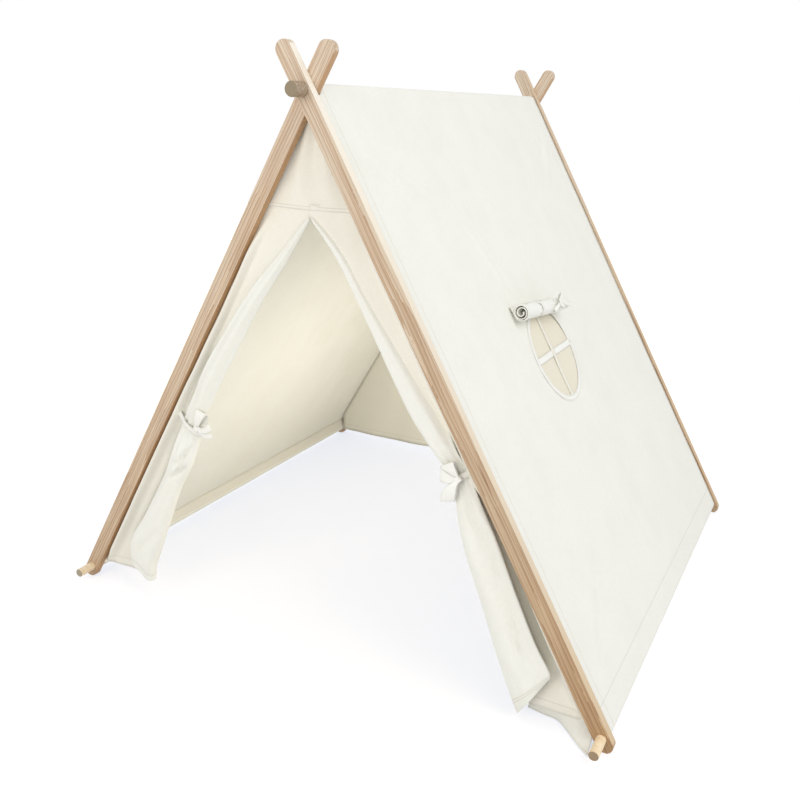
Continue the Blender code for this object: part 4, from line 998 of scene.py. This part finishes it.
for side, side_name, stations in SIDES:
    knot = KNOTS[side]
    outer, inner, thick = lapel_station(stations, TIE_STATION)
    over = (inner - outer).normalized()
    width = (inner - outer).length
    top = thick * LAPEL_FULLNESS * 0.72 + 0.0062
    down = Vector((side * -over.y, 0.0, side * over.x))
    path = TIE_PATH + [(width * 0.22, top), (width * 0.60, top + 0.0008),
                       (width * 0.93, top * 0.86), (width + 0.0035, top * 0.5),
                       (width * 0.86, -0.0034), (width * 0.3, -0.0050), (-0.040, -0.0036)]
    loop = [((outer.x + over.x * a, LAPEL_BACK - b, outer.y + over.y * a),
             down * TIE_WIDTH * (0.94 + 0.10 * cos(5 * i)))
            for i, (a, b) in enumerate(path)]
    tie, long_way = ribbon(side_name + "_tie_tape", loop, 6, 60, lambda point: point)
    cotton_canvas(tie, "cotton_tape_" + side_name + "_tie", TAPE_WHITE,
                  [(0, 0.0018), (0, TIE_WIDTH - 0.0018)], TAPE_THREAD)
    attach(tie, side_name + "_frame")
    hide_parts(side_name + "_curtain_tie")

    def bow_place(point):
        """A place of the bow, from millimetres beside, above and before its knot."""
        return Vector((knot[0] + point.x / 1000, knot[1] - point.z / 1000,
                       knot[2] + point.y / 1000))

    bow_piece, long_way = tie_bow(side_name + "_tie_bow", BOWS[side],
                                  (KNOT_TURNS[side], 8.0, 5.5, 12.0), 36, bow_place)
    cotton_canvas(bow_piece, "cotton_tape_" + side_name + "_bow", TAPE_WHITE, (), TAPE_THREAD)
    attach(bow_piece, side_name + "_frame")
    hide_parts(side_name + "_curtain_bow")


# The window: a disc of beige cotton gauze sewn into the round hole between two rings of canvas
# binding, with a white tape across it and a paler, narrower one from top to bottom.
BINDING_OUTSIDE = 0.124
GAUZE_RADIUS = 0.1165
GAUZE = 0.0006
RAIL_WIDTH = 0.018
RAIL_LENGTH = 0.2244
UPRIGHT_WIDTH = 0.016
UPRIGHT_LENGTH = 0.223
UPRIGHT_SHIFT = -0.010


def window_place(back, down, height):
    """A place on the window, from its middle: towards the back, down the wall and out of it."""
    y = WINDOW_Y + back
    out = WALL_OUT + wall_relief(1, y, WINDOW_DOWN + down) + height
    return slope_point(1, y, WINDOW_DOWN + down, out)


def gauze_place(across, along):
    """A point of the gauze: a square grid pressed out to a disc."""
    u, v = 2 * across - 1, 2 * along - 1
    back = u * sqrt(1 - v * v / 2) * GAUZE_RADIUS
    down = v * sqrt(1 - u * u / 2) * GAUZE_RADIUS
    return window_place(back, down, -0.0002), (back, down)


# The gauze is drawn as a closed beige sheet: partly its own tone, partly painted shade for the dim inside of
# the tent that shows through its open weave.
gauze = cloth_grid("window_gauze", 44, 44, gauze_place, GAUZE)
cotton_canvas(gauze, "beige_cotton_gauze", "#E9E2CC", (), 0.0020, 0.35)
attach(gauze, "right_frame")
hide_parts("window_screen")

RING_SECTION = [(0.0, 0.0013), (0.0006, 0.0017), (0.0030, 0.0017), (0.0080, 0.0017),
                (0.0120, 0.0018), (0.0134, 0.0015), (0.0140, 0.0010)]


def ring_place(across, along, face=1):
    """A point of a ring, from its outside edge to its folded inside edge. The outer ring puckers
    and lifts a little; the facing, face -1, lies flat on the inside of the wall."""
    inward, height = smooth_path(RING_SECTION, across)
    angle = tau * along
    radius = BINDING_OUTSIDE - inward
    if face > 0:
        pucker = 0.00022 * sin(46 * angle) * sin(pi * across)
        pucker += 0.0005 * rumple(cos(angle) * 0.2, sin(angle) * 0.2, 0.05, 3.0)
        lifted = hump(angle - radians(315), 0.35) * 0.0022 * across
        height = height + max(pucker, -0.0003) + lifted
    point = window_place(radius * cos(angle), radius * sin(angle), face * height)
    return point, (inward, angle * OPENING_RADIUS)


BINDING = 0.0009
ring = cloth_grid("window_ring", 10, 128, ring_place, BINDING)
facing = cloth_grid("window_facing", 8, 96,
                    lambda across, along: ring_place(across, along, -1), BINDING)
for piece, wide in ((ring, "outer"), (facing, "inner")):
    cotton_canvas(piece, "cotton_binding_" + wide, "#F4F3EC", [(0, 0.0022), (0, 0.0118)], 0.0012)
    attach(piece, "right_frame")
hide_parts("window_binding")

rail = [(((i / 10 - 0.5) * RAIL_LENGTH, 0.0003 * sin(i), 0.0014), (0.0, RAIL_WIDTH, 0.0))
        for i in range(11)]
upright = [((UPRIGHT_SHIFT, (i / 16 - 0.5) * UPRIGHT_LENGTH, 0.0013 + 0.0013 * hump(i - 8, 1.3)),
            (UPRIGHT_WIDTH, 0.0, 0.0)) for i in range(17)]
for name, node, tape, tape_width, tint in (
        ("window_rail", "window_rail_tape", rail, RAIL_WIDTH, "#F6F5EF"),
        ("window_upright", "window_upright_tape", upright, UPRIGHT_WIDTH, "#F0ECDD")):
    bar, long_way = ribbon(name, tape, 4, 60, lambda point: window_place(*point))
    cotton_canvas(bar, "cotton_tape_" + name, tint, [(0, 0.0014), (0, tape_width - 0.0014)],
                  TAPE_THREAD)
    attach(bar, "right_frame")
    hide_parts(node)


# The window's flap: two layers of canvas sewn together, hung from a seam above the window. It is
# rolled up from its foot and held by two tapes that cinch it, the back one tied in a bow.
ROLL_TILT = radians(6.0)
ROLL_LENGTH = 0.275
ROLL_RADIUS = 0.0165
ROLL_CORE = 0.0045
ROLL_TURNS = 2.5
ROLL_DROP = 0.1
ROLL_CLOTH = 0.0022
ROLL_TIES = (-0.038, 0.047)
ROLL_SLOPE = Vector((sin(LEAN), 0.0, -cos(LEAN)))
ROLL_NORMAL = Vector((cos(LEAN), 0.0, sin(LEAN)))
ROLL_ALONG = Vector((0, 1, 0)) * cos(ROLL_TILT) + ROLL_SLOPE * sin(ROLL_TILT)
ROLL_ACROSS = ROLL_SLOPE * cos(ROLL_TILT) - Vector((0, 1, 0)) * sin(ROLL_TILT)
ROLL_MIDDLE = slope_point(1, WINDOW_Y - 0.012, WINDOW_DOWN - 0.106, 0.0338)
ROLL_STEPS = 74


def roll_place(point):
    """A place on the roll: down the slope from its axis, out from it, and along it."""
    return ROLL_MIDDLE + ROLL_ACROSS * point[0] + ROLL_NORMAL * point[1] + ROLL_ALONG * point[2]


def roll_section(share):
    """The flap seen from its end: down from the seam and wound up, with how far round it is."""
    drop = [(-0.0215, -0.0198), (-0.0150, -0.0185), (-0.0078, -0.0171), (0.0, -ROLL_RADIUS)]
    if share < ROLL_DROP:
        return smooth_path(drop, share / ROLL_DROP), 0.0
    turned = (share - ROLL_DROP) / (1 - ROLL_DROP)
    angle = radians(-90 + 360 * ROLL_TURNS * turned)
    radius = ROLL_RADIUS + (ROLL_CORE - ROLL_RADIUS) * turned ** 1.6
    return [radius * cos(angle), radius * sin(angle)], angle + pi / 2


flap_lengths = running_lengths([Vector(roll_section(i / ROLL_STEPS)[0])
                                for i in range(ROLL_STEPS + 1)])


def flap_place(across, along):
    """A point of the rolled flap, drawn in by its two ties and loose at its ends."""
    t = (across - 0.5) * ROLL_LENGTH
    (down, out), turned = roll_section(along)
    wound = smooth_step(0.06, 0.2, along)
    cinch = sum(hump(t - tie, 0.010) for tie in ROLL_TIES)
    near = sum(hump(t - tie, 0.028) for tie in ROLL_TIES)
    size = 1.0 - 0.20 * cinch * wound
    size += (0.05 * cos(7 * turned + 2.0) * near * (1 - 0.6 * cinch)) * wound
    size += 0.07 * rumple(t, turned * 0.02, 0.030, 11.0) * wound
    size += 0.10 * smooth_step(-0.10, -ROLL_LENGTH / 2, t) * wound
    size -= 0.22 * smooth_step(0.085, ROLL_LENGTH / 2, t) * wound
    sag = 0.0012 * rumple(t, 0.0, 0.06, 12.0)
    point = roll_place((down * size + sag * wound, out * size, t))
    return point, (t, flap_lengths[round(along * ROLL_STEPS)])


flap = cloth_grid("window_flap_rolled", 110, ROLL_STEPS, flap_place, ROLL_CLOTH)
cotton_canvas(flap, "natural_cotton_canvas_flap", "#F3F2EB",
              [(0, -ROLL_LENGTH / 2 + 0.008), (0, ROLL_LENGTH / 2 - 0.008), (1, 0.003)])
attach(flap, "window_flap")
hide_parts("window_flap_roll")

ROLL_TIE_WIDTH = 0.010
ROLL_TIE_REACH = 0.0158
for name, node, at in (("window_tie_band_front", "window_tie_front", ROLL_TIES[0]),
                       ("window_tie_band_back", "window_tie_back", ROLL_TIES[1])):
    band = [((-0.0235, -0.0199, at), (0, 0, ROLL_TIE_WIDTH)),
            ((-0.0185, -0.0120, at), (0, 0, ROLL_TIE_WIDTH))]
    for i in range(11):
        angle = radians(178 - 246 * i / 10)
        wide = ROLL_TIE_WIDTH * (0.9 + 0.08 * cos(2 * i))
        band.append(((ROLL_TIE_REACH * cos(angle), ROLL_TIE_REACH * sin(angle), at),
                     (0.0008 * sin(3 * i), 0, wide)))
    tape, long_way = ribbon(name, band, 4, 60, roll_place)
    cotton_canvas(tape, "cotton_tape_" + name, TAPE_WHITE, (), TAPE_THREAD)
    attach(tape, "window_flap")
    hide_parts(node)

WINDOW_BOW = [
    [((0, 0, 1), (0, 7, 2)), ((20, -1, 4), (0, 9, 3)), ((45, -7, 3), (0, 10, 2)),
     ((70, -9, -1), (1, 10, 0)), ((94, -6, -4), (2, 10, -2))],
    [((0, 0, 2), (-3, 6, 0)), ((14, 9, 6), (-5, 9, 1)), ((29, 16, 4), (-5, 10, 1)),
     ((37, 18, 0), (-4, 10, 0)), ((28, 13, -4), (-4, 9, 0)), ((10, 4, -3), (-3, 7, 0)),
     ((0, 0, 0), (-3, 6, 0))],
    [((0, 0, 2), (5, 4, 0)), ((7, -9, 5), (8, 4, 2)), ((16, -13, 4), (9, 5, 3)),
     ((21, -11, 0), (8, 6, 2)), ((14, -6, -3), (6, 5, 0)), ((4, -1, -2), (5, 4, 0))],
    [((0, 0, 1), (2, -7, 0)), ((-10, -6, 3), (3, -8, 0)), ((-21, -10, 1), (4, -8, 0)),
     ((-30, -16, -4), (5, -8, 1))],
]
bow_knot = roll_place((0.0, 0.0205, ROLL_TIES[1]))


def window_bow_place(point):
    """A place of the window's bow, from millimetres beside, above and out from its knot."""
    return (bow_knot + ROLL_ALONG * (point.x / 1000) - ROLL_ACROSS * (point.y / 1000)
            + ROLL_NORMAL * (point.z / 1000))


window_bow, long_way = tie_bow("window_tie_bow_tape", WINDOW_BOW, (60, 5.0, 4.0, 8.0), 32,
                               window_bow_place)
cotton_canvas(window_bow, "cotton_tape_window_bow", TAPE_WHITE, (), TAPE_THREAD)
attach(window_bow, "window_flap")
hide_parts("window_tie_bow")
